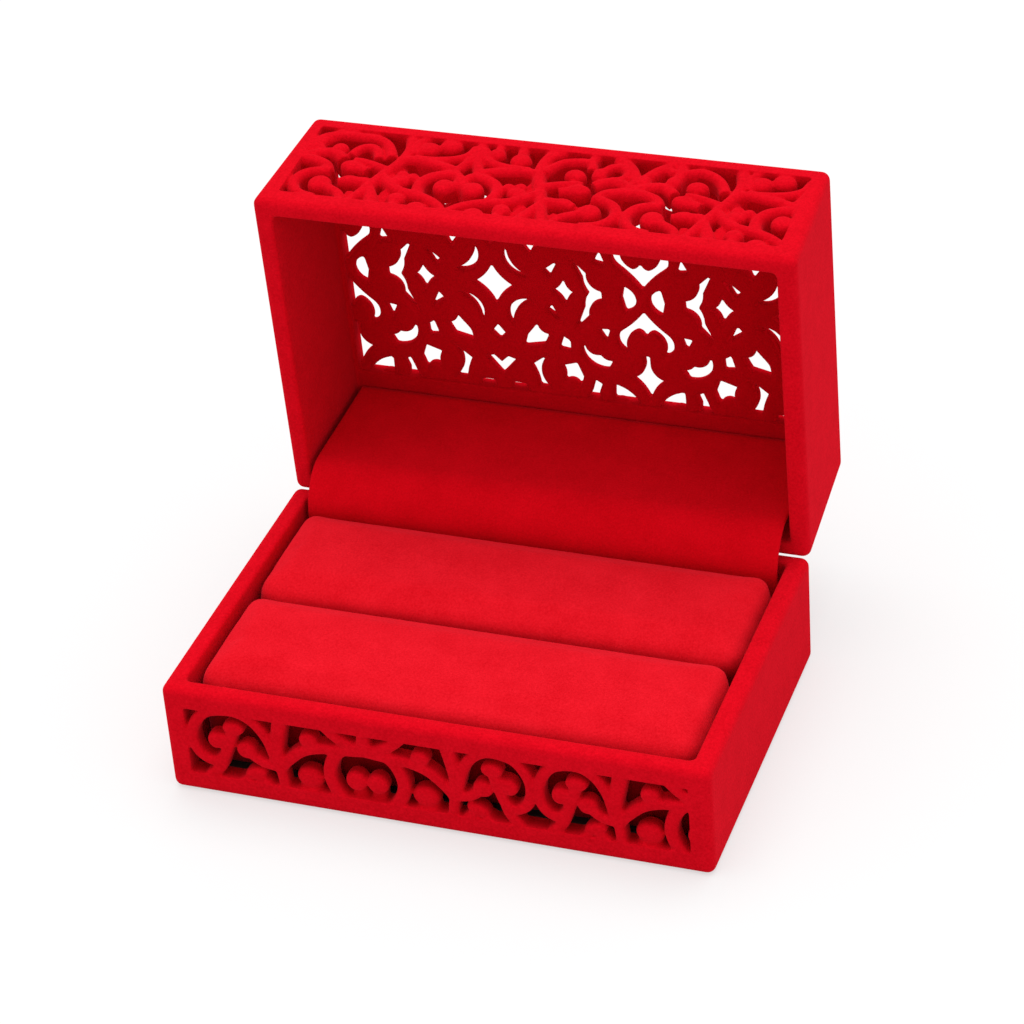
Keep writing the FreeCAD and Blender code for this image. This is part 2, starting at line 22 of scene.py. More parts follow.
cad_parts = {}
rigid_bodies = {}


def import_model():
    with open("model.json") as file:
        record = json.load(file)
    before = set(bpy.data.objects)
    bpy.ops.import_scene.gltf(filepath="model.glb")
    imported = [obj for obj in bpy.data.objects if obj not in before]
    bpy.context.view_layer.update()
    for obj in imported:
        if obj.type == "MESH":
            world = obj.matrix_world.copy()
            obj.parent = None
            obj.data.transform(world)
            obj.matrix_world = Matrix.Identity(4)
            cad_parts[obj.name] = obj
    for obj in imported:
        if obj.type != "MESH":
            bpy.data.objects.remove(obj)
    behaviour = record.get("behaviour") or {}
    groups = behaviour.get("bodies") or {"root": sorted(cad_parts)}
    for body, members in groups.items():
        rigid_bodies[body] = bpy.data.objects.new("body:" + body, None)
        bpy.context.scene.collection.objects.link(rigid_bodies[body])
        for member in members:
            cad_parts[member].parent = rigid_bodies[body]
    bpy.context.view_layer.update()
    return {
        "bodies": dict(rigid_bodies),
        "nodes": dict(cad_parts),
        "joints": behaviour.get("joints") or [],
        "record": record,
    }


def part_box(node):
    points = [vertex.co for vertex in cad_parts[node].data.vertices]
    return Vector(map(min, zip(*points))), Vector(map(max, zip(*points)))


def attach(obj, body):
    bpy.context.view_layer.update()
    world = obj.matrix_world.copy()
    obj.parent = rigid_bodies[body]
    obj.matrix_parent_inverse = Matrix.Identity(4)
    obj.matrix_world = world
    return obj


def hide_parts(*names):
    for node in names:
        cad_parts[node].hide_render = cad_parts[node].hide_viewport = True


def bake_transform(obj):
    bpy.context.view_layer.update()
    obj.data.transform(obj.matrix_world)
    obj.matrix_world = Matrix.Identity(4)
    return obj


LOG = logging.getLogger("ring_box")
MM = 0.001
# Attribute that says how much painted shade darkens the colour at a vertex.
PAINTED_SHADE = "painted_shade"
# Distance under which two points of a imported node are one.
MERGE = 1e-6
# The same for points of a piece's own mesh, and on a cut.
FINE_MERGE = 1e-7
# A face whose normal rises less than this is a wall.
STEEP = 0.5
# Step along which a strip's length is measured.
LENGTH_STEP = 0.2 * MM

Colour = tuple[float, float, float]
Point2 = tuple[float, float]
Point3 = tuple[float, float, float]


class Body(Enum):
    """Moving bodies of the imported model."""

    BASE = "base"
    LID = "lid"


class Slot(Enum):
    """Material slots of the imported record."""

    FLOCK = "flocked_plastic"
    VELVET = "velvet"
    STEEL = "hinge_steel"


def new_object(name: str, data: bpy.types.ID) -> bpy.types.Object:
    """Put a mesh, curve, lamp or camera into the scene as an object at the origin.

    Args:
        name: name of the object and of its data.
        data: the data, already in place.

    Returns:
        The new object.
    """
    data.name = name
    obj = bpy.data.objects.new(name, data)
    bpy.context.scene.collection.objects.link(obj)
    return obj


def add_modifier(obj: bpy.types.Object, kind: str, **settings: object) -> bpy.types.Modifier:
    """Give an object a modifier.

    Args:
        obj: the object.
        kind: the modifier's type.
        settings: its settings by name.

    Returns:
        The modifier.
    """
    modifier = obj.modifiers.new(kind.lower(), kind)
    for name, value in settings.items():
        setattr(modifier, name, value)
    return modifier


def mesh_of(vertices: Sequence, faces: Sequence) -> bpy.types.Mesh:
    """Mesh from plain lists.

    Args:
        vertices: its points.
        faces: its faces, as numbers of points.

    Returns:
        The mesh.
    """
    mesh = bpy.data.meshes.new("shape")
    mesh.from_pydata([tuple(v) for v in vertices], [], [tuple(f) for f in faces])
    mesh.update()
    return mesh


def poly_curve(name: str, lines: Sequence[Sequence[tuple[Point3, float]]], closed: bool) -> bpy.types.Object:
    """Curve object with one straight-sided spline for each line.

    Args:
        name: name of the curve.
        lines: for each spline, its points with their radii.
        closed: whether the splines are closed.

    Returns:
        The curve's object.
    """
    curve = bpy.data.curves.new(name, "CURVE")
    curve.dimensions = "3D"
    for line in lines:
        spline = curve.splines.new("POLY")
        spline.points.add(len(line) - 1)
        for point, (place, radius) in zip(spline.points, line):
            point.co = (*place, 1.0)
            point.radius = radius
        spline.use_cyclic_u = closed
    return new_object(name, curve)


def loft_faces(count: int, rings: int) -> list[tuple[int, ...]]:
    """Quads between closed outlines that stand in a row.

    Args:
        count: points of each outline.
        rings: number of outlines.

    Returns:
        The faces, as numbers of points.
    """
    return [
        (s * count + i, s * count + j, (s + 1) * count + j, (s + 1) * count + i)
        for s in range(rings - 1)
        for i, j in zip(range(count), [*range(1, count), 0])
    ]


def settled(obj: bpy.types.Object) -> bpy.types.Mesh:
    """Plain mesh of an object with its modifiers applied; the object goes.

    Args:
        obj: the object to evaluate and remove.

    Returns:
        Its evaluated mesh.
    """
    bpy.context.view_layer.update()
    graph = bpy.context.evaluated_depsgraph_get()
    evaluated = obj.evaluated_get(graph)
    mesh = bpy.data.meshes.new_from_object(evaluated, preserve_all_data_layers=True, depsgraph=graph)
    bpy.data.objects.remove(obj)
    return mesh


@contextmanager
def edited(mesh: bpy.types.Mesh) -> Iterator[bmesh.types.BMesh]:
    """Open a mesh for editing and write it back afterwards.

    Args:
        mesh: the mesh.

    Yields:
        Its vertices, edges and faces.
    """
    bm = bmesh.new()
    bm.from_mesh(mesh)
    yield bm
    bm.to_mesh(mesh)
    bm.free()


def joined(meshes: Sequence[bpy.types.Mesh]) -> bpy.types.Mesh:
    """One new mesh that holds several, as loose parts.

    Args:
        meshes: the meshes, which stay as they are.

    Returns:
        The new mesh.
    """
    whole = bpy.data.meshes.new("joined")
    with edited(whole) as bm:
        for mesh in meshes:
            bm.from_mesh(mesh)
    return whole


def node_copy(node: bpy.types.Object) -> bpy.types.Mesh:
    """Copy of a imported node's mesh with its loose triangles merged.

    Args:
        node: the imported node, which stays as it is.

    Returns:
        The copy.
    """
    mesh = joined([node.data])
    with edited(mesh) as bm:
        bmesh.ops.remove_doubles(bm, verts=bm.verts, dist=MERGE)
    return mesh


def coordinates(mesh: bpy.types.Mesh) -> np.ndarray:
    """Vertex positions of a mesh.

    Args:
        mesh: the mesh.

    Returns:
        One row for each vertex.
    """
    co = np.empty(len(mesh.vertices) * 3)
    mesh.vertices.foreach_get("co", co)
    return co.reshape(-1, 3)


def set_coordinates(mesh: bpy.types.Mesh, co: np.ndarray) -> None:
    """Move a mesh's vertices.

    Args:
        mesh: the mesh.
        co: one row for each vertex.
    """
    mesh.vertices.foreach_set("co", np.ascontiguousarray(co, dtype=np.float32).ravel())
    mesh.update()


def shade_smooth(mesh: bpy.types.Mesh) -> None:
    """Shade all faces of a mesh smoothly.

    Args:
        mesh: the mesh.
    """
    mesh.polygons.foreach_set("use_smooth", [True] * len(mesh.polygons))


def mark_painted_shade(mesh: bpy.types.Mesh, share: np.ndarray) -> None:
    """Mark how much painted shade each vertex gets, which darkens its colour towards the finish's painted
    shade colour.

    Args:
        mesh: mesh to mark.
        share: for each vertex, 0 for no painted shade to 1 for full painted shade.
    """
    mark = mesh.attributes.new(PAINTED_SHADE, "FLOAT", "POINT")
    mark.data.foreach_set("value", np.clip(share, 0.0, 1.0).astype(np.float32))


@dataclass(frozen=True)
class Moulding:
    """How a flocked moulding is made one skin: fused at a voxel size, softened and thinned.

    Args:
        voxel: voxel size of the fuse.
        soften: smoothing passes, which round the edges as flock does.
        triangles: most triangles in the finished mesh.
    """

    voxel: float = 0.2 * MM
    soften: int = 4
    triangles: int = 190_000

    def fuse(self, meshes: Sequence[bpy.types.Mesh]) -> bpy.types.Mesh:
        """Fuse overlapping closed meshes into one skin.

        Args:
            meshes: closed meshes in one frame.

        Returns:
            The fused mesh, still dense.
        """
        obj = new_object("fusing", joined(meshes))
        add_modifier(obj, "REMESH", mode="VOXEL", voxel_size=self.voxel, adaptivity=0.0)
        return settled(obj)

    def finish(self, mesh: bpy.types.Mesh) -> bpy.types.Mesh:
        """Soften a fused mesh, thin it and give it smooth shading.

        Args:
            mesh: a dense fused mesh.

        Returns:
            The finished mesh.
        """
        obj = new_object("finishing", mesh)
        count = sum(len(p.vertices) - 2 for p in mesh.polygons)
        add_modifier(obj, "SMOOTH", factor=0.5, iterations=self.soften)
        add_modifier(obj, "DECIMATE", ratio=min(1.0, self.triangles / count))
        mesh = settled(obj)
        shade_smooth(mesh)
        obj = new_object("shading", mesh)
        add_modifier(obj, "WEIGHTED_NORMAL", mode="FACE_AREA", weight=60)
        return settled(obj)


def set_inputs(tree: bpy.types.NodeTree, node: bpy.types.Node, inputs: dict[str | int, object]) -> None:
    """Set or link the inputs of a node.

    Args:
        tree: the node's tree.
        node: the node.
        inputs: what each input gets, by its name or number: an output of another node, a list of such
            outputs, or a plain value.
    """
    for key, value in inputs.items():
        for source in value if isinstance(value, list) else [value]:
            if isinstance(source, bpy.types.NodeSocket):
                tree.links.new(source, node.inputs[key])
            else:
                node.inputs[key].default_value = source


def add_node(
    tree: bpy.types.NodeTree, kind: str, inputs: dict[str | int, object] | None = None, **settings: object
) -> bpy.types.NodeOutputs:
    """Add a node to a tree.

    Args:
        tree: the tree.
        kind: the node's type.
        inputs: what its inputs get.
        settings: its settings by name.

    Returns:
        The node's outputs.
    """
    node = tree.nodes.new(kind)
    for name, value in settings.items():
        setattr(node, name, value)
    set_inputs(tree, node, inputs or {})
    return node.outputs


def calculated(
    tree: bpy.types.NodeTree, operation: str, a: object, b: object, clamp: bool = False
) -> bpy.types.NodeSocket:
    """Result of a Math node.

    Args:
        tree: the tree.
        operation: what the node does.
        a: first number or output.
        b: second number or output.
        clamp: whether the result is kept between 0 and 1.

    Returns:
        The result.
    """
    return add_node(tree, "ShaderNodeMath", {0: a, 1: b}, operation=operation, use_clamp=clamp)[0]


def mixed(tree: bpy.types.NodeTree, share: object, low: object, high: object) -> bpy.types.NodeSocket:
    """Colour between two others.

    Args:
        tree: the tree.
        share: how much of the second colour there is.
        low: first colour.
        high: second colour.

    Returns:
        The colour.
    """
    return add_node(tree, "ShaderNodeMix", {0: share, 6: low, 7: high}, data_type="RGBA")[2]


def add_sockets(tree: bpy.types.NodeTree, way: str, kinds: dict[str, str]) -> None:
    """Give a node group its named inputs or outputs.

    Args:
        tree: the group.
        way: INPUT or OUTPUT.
        kinds: kind of each socket by its name.
    """
    for name, kind in kinds.items():
        tree.interface.new_socket(name=name, in_out=way, socket_type="NodeSocket" + kind)


def pile_grain_group() -> bpy.types.NodeTree:
    """Shader group of a textile surface: mottled colour, roughness and the height of its pile.

    Returns:
        The group, built on its first use.
    """
    found = bpy.data.node_groups.get("pile_grain")
    if found:
        return found
    group = bpy.data.node_groups.new("pile_grain", "ShaderNodeTree")
    floats = ("Pile Scale", "Patch Scale", "Mottle", "Patches")
    add_sockets(group, "INPUT", {"Place": "Vector", **dict.fromkeys(floats, "Float")})
    add_sockets(group, "INPUT", {"Deep Colour": "Color", "Lit Colour": "Color"})
    add_sockets(group, "OUTPUT", {"Colour": "Color", "Roughness": "Float", "Height": "Float"})
    given = add_node(group, "NodeGroupInput")

    def noise(scale: str, detail: float) -> bpy.types.NodeSocket:
        """Noise over the surface.

        Args:
            scale: the group's input that scales it.
            detail: how many finer layers it has.

        Returns:
            The noise's value.
        """
        inputs = {"Vector": given["Place"], "Scale": given[scale], "Detail": detail, "Roughness": 0.6}
        return add_node(group, "ShaderNodeTexNoise", inputs)["Fac"]

    def weighed(value: bpy.types.NodeSocket, weight: str) -> bpy.types.NodeSocket:
        """Noise about zero, times one of the group's inputs.

        Args:
            value: the noise's value.
            weight: the group's input.

        Returns:
            The product.
        """
        return calculated(group, "MULTIPLY", calculated(group, "SUBTRACT", value, 0.5), given[weight])

    pile, patch = noise("Pile Scale", 2.0), noise("Patch Scale", 3.0)
    both = calculated(group, "ADD", weighed(pile, "Mottle"), weighed(patch, "Patches"))
    level = calculated(group, "ADD", both, 0.5, clamp=True)
    colour = mixed(group, level, given["Deep Colour"], given["Lit Colour"])
    rough = add_node(group, "ShaderNodeMapRange", {"Value": level, "To Min": 1.0, "To Max": 0.85})["Result"]
    add_node(group, "NodeGroupOutput", {"Colour": colour, "Roughness": rough, "Height": pile})
    return group


@dataclass(frozen=True)
class Finish:
    """Finish of a surface.

    Args:
        name: the material's name.
    """

    name: str

    def shader_inputs(self, tree: bpy.types.NodeTree) -> dict[str, object]:
        """Add this finish's nodes; each kind of finish has its own.

        Args:
            tree: the material's tree.

        Returns:
            What the inputs of the surface's shader get, by name.
        """
        raise NotImplementedError

    def material(self) -> bpy.types.Material:
        """Material of this finish.

        Returns:
            The material, built on its first use.
        """
        material = bpy.data.materials.get(self.name)
        if not material:
            material = bpy.data.materials.new(self.name)
            material.use_nodes = True
            tree = material.node_tree
            set_inputs(tree, tree.nodes["Principled BSDF"], self.shader_inputs(tree))
        return material


@dataclass(frozen=True)
class PileFinish(Finish):
    """Textile finish with a short pile, such as flock, velvet or card.

    Args:
        name: the material's name.
        deep: colour down in the pile.
        lit: colour of the fibre tips.
        pile: size of a tuft.
        patch: size of the patches where the pile leans one way.
        mottle: contrast of the tufts.
        patches: contrast of the patches.
        relief: depth of the bump.
        sheen: weight of the soft light at grazing angles.
        sheen_tint: its colour.
        sheen_roughness: how widely it spreads.
        painted_shade_colour: painted shade colour, towards which the colour is darkened where a piece marks
            painted shade.
    """

    deep: Colour
    lit: Colour
    pile: float
    patch: float
    mottle: float
    patches: float
    relief: float
    sheen: float = 0.0
    sheen_tint: Colour = (1.0, 1.0, 1.0)
    sheen_roughness: float = 0.5
    # Painted shade colour for the vertices that a piece marks.
    painted_shade_colour: Colour = (0.36, 0.001, 0.003)

    def shader_inputs(self, tree: bpy.types.NodeTree) -> dict[str, object]:
        """Add this finish's nodes.

        Args:
            tree: the material's tree.

        Returns:
            What the inputs of the surface's shader get, by name.
        """
        values = {
            "Place": add_node(tree, "ShaderNodeTexCoord")["Object"],
            "Pile Scale": 1.0 / self.pile,
            "Patch Scale": 1.0 / self.patch,
            "Mottle": self.mottle,
            "Patches": self.patches,
            "Deep Colour": (*self.deep, 1.0),
            "Lit Colour": (*self.lit, 1.0),
        }
        grain = add_node(tree, "ShaderNodeGroup", values, node_tree=pile_grain_group())
        height = {"Strength": 0.6, "Distance": self.relief, "Height": grain["Height"]}
        # Painted shade: the colour is darkened towards the shade colour where a piece marks it.
        painted_shade = add_node(tree, "ShaderNodeAttribute", attribute_name=PAINTED_SHADE)["Fac"]
        return {
            "Base Color": mixed(tree, painted_shade, grain["Colour"], (*self.painted_shade_colour, 1.0)),
            "Roughness": grain["Roughness"],
            "Normal": add_node(tree, "ShaderNodeBump", height)["Normal"],
            "Specular IOR Level": 0.0,
            "Sheen Weight": self.sheen,
            "Sheen Roughness": self.sheen_roughness,
            "Sheen Tint": (*self.sheen_tint, 1.0),
        }


@dataclass(frozen=True)
class SteelFinish(Finish):
    """Plated stamped steel with fine marks along the sheet.

    Args:
        name: the material's name.
        colour: colour of the plating.
        marks: size of the marks across the sheet.
        along: size of a mark across the sheet over its length.
        dark: how dark the deepest marks are.
        relief: depth of the bump.
        gloss: lowest and highest roughness.
    """

    colour: Colour
    marks: float
    along: float = 0.05
    dark: float = 0.82
    relief: float = 0.02 * MM
    gloss: tuple[float, float] = (0.24, 0.42)

    def shader_inputs(self, tree: bpy.types.NodeTree) -> dict[str, object]:
        """Add this finish's nodes.

        Args:
            tree: the material's tree.

        Returns:
            What the inputs of the surface's shader get, by name.
        """
        place = add_node(tree, "ShaderNodeTexCoord")["Object"]
        stretch = {"Vector": place, "Scale": (self.along, 1.0, 1.0)}
        stretched = add_node(tree, "ShaderNodeMapping", stretch)["Vector"]
        noise = {"Vector": stretched, "Scale": 1.0 / self.marks, "Detail": 4.0}
        mark = add_node(tree, "ShaderNodeTexNoise", noise)["Fac"]
        dark = (*(self.dark * c for c in self.colour), 1.0)
        height = {"Strength": 0.25, "Distance": self.relief, "Height": mark}
        gloss = {"Value": mark, "To Min": self.gloss[0], "To Max": self.gloss[1]}
        return {
            "Base Color": mixed(tree, mark, dark, (*self.colour, 1.0)),
            "Roughness": add_node(tree, "ShaderNodeMapRange", gloss)["Result"],
            "Normal": add_node(tree, "ShaderNodeBump", height)["Normal"],
            "Metallic": 1.0,
        }


RED_FLOCK = PileFinish(
    name="red_flock",
    deep=(0.47, 0.001, 0.005),
    lit=(0.8, 0.004, 0.015),
    pile=0.42 * MM,
    patch=4.0 * MM,
    mottle=1.1,
    patches=0.5,
    relief=0.12 * MM,
    sheen=0.3,
    sheen_tint=(1.0, 0.05, 0.08),
)
RED_VELVET = PileFinish(
    name="red_velvet",
    deep=(0.54, 0.001, 0.005),
    lit=(0.84, 0.013, 0.026),
    pile=0.34 * MM,
    patch=6.0 * MM,
    mottle=1.0,
    patches=0.6,
    relief=0.08 * MM,
    sheen=0.4,
    sheen_tint=(1.0, 0.06, 0.1),
    # Painted shade colour of the velvet.
    painted_shade_colour=(0.26, 0.001, 0.003),
)
FLAP_VELVET = replace(
    RED_VELVET, name="flap_velvet", deep=(0.48, 0.001, 0.004), lit=(0.74, 0.003, 0.011), sheen=0.2
)
# Card made nearly black, which paints the shade seen through the gaps behind the scrolls.
BLACK_CARD = PileFinish(
    name="black_card",
    deep=(0.03, 0.022, 0.02),
    lit=(0.075, 0.055, 0.048),
    pile=0.25 * MM,
    patch=5.0 * MM,
    mottle=0.9,
    patches=0.6,
    relief=0.03 * MM,
)
PLATED_STEEL = SteelFinish(name="plated_steel", colour=(0.62, 0.61, 0.59), marks=0.12 * MM)


def dress(mesh: bpy.types.Mesh, material: bpy.types.Material) -> None:
    """Give a whole mesh one material.

    Args:
        mesh: the mesh.
        material: its finish.
    """
    mesh.materials.clear()
    mesh.materials.append(material)
    mesh.polygons.foreach_set("material_index", [0] * len(mesh.polygons))


class Stroke(NamedTuple):
    """Band of a scroll, in millimetres.

    Args:
        points: places along it, from a mirror line.
        start: its width at the first point.
        end: its width at the last point.
        sink: how far it lies under the other bands.
    """

    points: tuple[Point2, ...]
    start: float
    end: float
    sink: float = 0.0


class Bud(NamedTuple):
    """Round bud of a scroll, in millimetres.

    Args:
        u: distance from a mirror line.
        v: height on the panel.
        half_u: half of its length.
        half_v: half of its width.
        tilt: its turn on the panel, in degrees.
        sink: how far it lies under the other buds.
    """

    u: float
    v: float
    half_u: float
    half_v: float
    tilt: float = 0.0
    sink: float = 0.0


def bud_mesh(squareness: float) -> bpy.types.Mesh:
    """Coin-like bud of unit half size with rounded edges.

    Args:
        squareness: 2 for a ball, more for a flatter coin.

    Returns:
        The bud's mesh.
    """
    mesh = bpy.data.meshes.new("bud")
    with edited(mesh) as bm:
        bmesh.ops.create_uvsphere(bm, u_segments=24, v_segments=16, radius=1.0)
        for vertex in bm.verts:
            across = math.hypot(vertex.co.x, vertex.co.y)
            vertex.co /= (across**squareness + abs(vertex.co.z) ** squareness) ** (1 / squareness)
    return mesh


def band_profile(squareness: float) -> bpy.types.Object:
    """Cross-section of a band: straight sides and a rounded crest, in units of half its width.

    Args:
        squareness: 2 for a round crest, more for a flatter one.

    Returns:
        Curve object whose -Y becomes the way out of the panel when it is swept.
    """
    power = 2.0 / squareness
    points = [(-1.0, 1.5), (1.0, 1.5)]
    for a in np.linspace(0.0, math.pi, 15):
        across = math.copysign(abs(math.cos(a)) ** power, math.cos(a))
        points.append((across, -abs(math.sin(a)) ** power))
    return poly_curve("band_profile", [[((x, y, 0.0), 1.0) for x, y in points]], closed=True)


def scroll_tree() -> bpy.types.NodeTree:
    """Geometry Nodes tree that sweeps bands, sets buds, mirrors the cell and repeats it along a panel.

    Returns:
        The tree, built on its first use. Its inputs are the bud points, the objects of the strokes, of a
        bud and of a band's profile, the panel's distances and the material.
    """
    found = bpy.data.node_groups.get("scroll_panel")
    if found:
        return found
    tree = bpy.data.node_groups.new("scroll_panel", "GeometryNodeTree")
    tree.is_modifier = True
    sockets = {"Bud Points": "Geometry", **dict.fromkeys(("Strokes", "Bud", "Band Profile"), "Object")}
    sockets |= {"Mirrored": "Bool", "Mirror Spacing": "Float", "First Copy": "Float", "Copies": "Int"}
    sockets |= {"Band Depth": "Float", "Back": "Float", "Finish": "Material"}
    add_sockets(tree, "INPUT", sockets)
    add_sockets(tree, "OUTPUT", {"Panel": "Geometry"})
    given = add_node(tree, "NodeGroupInput")

    def step(kind: str, geometry: object, port: str = "Geometry", **inputs: object) -> bpy.types.NodeSocket:
        """Add a node that works on a geometry.

        Args:
            kind: the node's type, without its prefix.
            geometry: what goes into it.
            port: name of the input that takes it.
            inputs: what its other inputs get; an underscore in a name stands for a space.

        Returns:
            The node's first output.
        """
        others = {name.replace("_", " "): value for name, value in inputs.items()}
        return add_node(tree, "GeometryNode" + kind, {port: geometry, **others})[0]

    def held(name: str) -> bpy.types.NodeSocket:
        """Geometry of the object that one of the tree's inputs holds.

        Args:
            name: the input's name.

        Returns:
            The geometry.
        """
        return add_node(tree, "GeometryNodeObjectInfo", {"Object": given[name]})["Geometry"]

    def vector(**parts: object) -> bpy.types.NodeSocket:
        """Vector from its parts.

        Args:
            parts: numbers or outputs for X, Y and Z; a part that isn't named is zero.

        Returns:
            The vector.
        """
        return add_node(tree, "ShaderNodeCombineXYZ", parts)[0]

    def carried(name: str, kind: str) -> bpy.types.NodeSocket:
        """Attribute that the bud points carry.

        Args:
            name: its name.
            kind: its type.

        Returns:
            Its value.
        """
        return add_node(tree, "GeometryNodeInputNamedAttribute", {"Name": name}, data_type=kind)["Attribute"]

    splines = {"Curve": held("Strokes")}
    rounded = add_node(tree, "GeometryNodeCurveSplineType", splines, spline_type="CATMULL_ROM")[0]
    fine = step("SetSplineResolution", rounded, Resolution=6)
    radius = add_node(tree, "GeometryNodeInputRadius")[0]
    sweep = step(
        "CurveToMesh", fine, "Curve", Profile_Curve=held("Band Profile"), Fill_Caps=True, Scale=radius
    )
    deep = step("Transform", sweep, Scale=vector(X=1.0, Y=1.0, Z=given["Band Depth"]))
    place = add_node(tree, "ShaderNodeSeparateXYZ", {0: add_node(tree, "GeometryNodeInputPosition")[0]})
    in_front = calculated(tree, "MAXIMUM", place["Z"], given["Back"])
    bands = step("SetPosition", deep, Position=vector(X=place["X"], Y=place["Y"], Z=in_front))

    buds = step(
        "InstanceOnPoints",
        given["Bud Points"],
        "Points",
        Instance=held("Bud"),
        Scale=carried("bud_size", "FLOAT_VECTOR"),
        Rotation=vector(Z=carried("bud_tilt", "FLOAT")),
    )
    half_cell = step("JoinGeometry", [bands, step("RealizeInstances", buds)])
    mirrored = step("Transform", half_cell, Scale=(-1.0, 1.0, 1.0))
    cell = step("JoinGeometry", [half_cell, step("FlipFaces", mirrored, "Mesh")])
    choice = {"Switch": given["Mirrored"], "False": half_cell, "True": cell}
    chosen = add_node(tree, "GeometryNodeSwitch", choice, input_type="GEOMETRY")[0]

    pitch = calculated(tree, "MULTIPLY", given["Mirror Spacing"], 2.0)
    first = vector(X=given["First Copy"])
    row = step("MeshLine", given["Copies"], "Count", Start_Location=first, Offset=vector(X=pitch))
    copies = step("InstanceOnPoints", row, "Points", Instance=step("GeometryToInstance", chosen))
    whole = step("SetMaterial", step("RealizeInstances", copies), Material=given["Finish"])
    add_node(tree, "NodeGroupOutput", {"Panel": whole})
    return tree


@dataclass(frozen=True)
class ScrollPanel:
    """Scroll ornament of one window: half a repeat cell that is mirrored about lines and repeated.

    Args:
        name: name of the panel.
        strokes: bands of the half cell.
        buds: buds of the half cell.
        spacing: distance between mirror lines.
        start: place of the first mirror line.
        reach: where the ornament is cut off at its left and right, inside the frame.
        widen: how much wider than drawn the bands are, because softening narrows them.
        recess: how far the bands' crests lie under the frame's face.
        bud_depth: half thickness of a bud.
        band_depth: depth of a band over its width.
        back: depth of the flat back of the bands.
        mirrored: whether the cell is mirrored and repeated; if not, it stands once, at the start.
        crest: squareness of the bands' crests.
        coin: squareness of the buds.
    """

    name: str
    strokes: tuple[Stroke, ...]
    buds: tuple[Bud, ...]
    spacing: float
    start: float
    reach: tuple[float, float] = (-43.2 * MM, 43.2 * MM)
    widen: float = 0.3 * MM
    recess: float = 0.1 * MM
    bud_depth: float = 1.35 * MM
    band_depth: float = 1.1
    back: float = 2.6 * MM
    mirrored: bool = True
    crest: float = 2.3
    coin: float = 3.2

    def split_left(self, pivot: float, stretch: float) -> tuple["ScrollPanel", "ScrollPanel"]:
        """Panel in two parts, the left one stretched towards the frame.

        Args:
            pivot: distance from the first mirror line, in millimetres, at which the panel is split.
            stretch: scale of the left part from there on.

        Returns:
            The left part and the rest.
        """

        def moved(u: float) -> float:
            """Stretched distance from the mirror line."""
            return u if u < pivot else pivot + (u - pivot) * stretch

        def stretched(stroke: Stroke) -> Stroke:
            """Band with its points moved."""
            return stroke._replace(points=tuple((moved(u), v) for u, v in stroke.points))

        split = self.start - pivot * MM
        left = replace(
            self,
            name=self.name + "_left",
            strokes=tuple(stretched(stroke) for stroke in self.strokes),
            buds=tuple(b._replace(u=moved(b.u)) for b in self.buds),
            spacing=2 * self.spacing,
            reach=(self.reach[0], split),
        )
        return left, replace(self, reach=(split, self.reach[1]))

    def stroke_curves(self) -> bpy.types.Object:
        """Curves of the bands.

        Returns:
            Object with one spline for each band, its radius half the band's width.
        """
        lines = []
        for stroke in self.strokes:
            depth = (self.recess + stroke.sink * MM) / self.band_depth
            widths = np.linspace(stroke.start, stroke.end, len(stroke.points)) * MM + self.widen
            lines.append(
                [((u * MM, v * MM, -w / 2 - depth), w / 2) for (u, v), w in zip(stroke.points, widths)]
            )
        return poly_curve(self.name + "_strokes", lines, closed=False)

    def bud_points(self) -> bpy.types.Object:
        """Points of the buds.

        Returns:
            Object whose points carry the buds' sizes and tilts.
        """
        mesh = mesh_of([(b.u * MM, b.v * MM, -self.bud_depth - b.sink * MM) for b in self.buds], [])
        size = mesh.attributes.new("bud_size", "FLOAT_VECTOR", "POINT")
        for i, bud in enumerate(self.buds):
            size.data[i].vector = (bud.half_u * MM, bud.half_v * MM, self.bud_depth)
        tilt = mesh.attributes.new("bud_tilt", "FLOAT", "POINT")
        for i, bud in enumerate(self.buds):
            tilt.data[i].value = math.radians(bud.tilt)
        return new_object(self.name, mesh)

    def mesh(self, material: bpy.types.Material) -> bpy.types.Mesh:
        """Closed meshes of the whole panel: X along it, Y up it and Z out of it.

        Args:
            material: finish of the ornament.

        Returns:
            The ornament, cut off at both ends inside the frame.
        """
        host, strokes = self.bud_points(), self.stroke_curves()
        bud, profile = new_object("bud", bud_mesh(self.coin)), band_profile(self.crest)
        tree = scroll_tree()
        values = {
            "Strokes": strokes,
            "Bud": bud,
            "Band Profile": profile,
            "Mirrored": self.mirrored,
            "Mirror Spacing": self.spacing,
            "First Copy": self.start - 2 * self.spacing if self.mirrored else self.start,
            "Copies": 3 if self.mirrored else 1,
            "Band Depth": self.band_depth,
            "Back": -self.back,
            "Finish": material,
        }
        modifier = add_modifier(host, "NODES", node_group=tree)
        for item in tree.interface.items_tree:
            if item.in_out == "INPUT" and item.name in values:
                modifier[item.identifier] = values[item.name]
        mesh = settled(host)
        for helper in (strokes, bud, profile):
            bpy.data.objects.remove(helper)
        return self.cut_off(mesh)

    def cut_off(self, mesh: bpy.types.Mesh) -> bpy.types.Mesh:
        """Cut a mesh at the panel's reach and close the cuts.

        Args:
            mesh: the whole ornament.

        Returns:
            The same mesh, cut.
        """
        with edited(mesh) as bm:
            for limit, side in zip(self.reach, (-1.0, 1.0)):
                bmesh.ops.bisect_plane(
                    bm,
                    geom=[*bm.verts, *bm.edges, *bm.faces],
                    dist=FINE_MERGE,
                    plane_co=(limit, 0, 0),
                    plane_no=(side, 0, 0),
                    clear_outer=True,
                )
                bmesh.ops.holes_fill(bm, edges=[e for e in bm.edges if e.is_boundary], sides=0)
            bmesh.ops.recalc_face_normals(bm, faces=bm.faces)
        return mesh


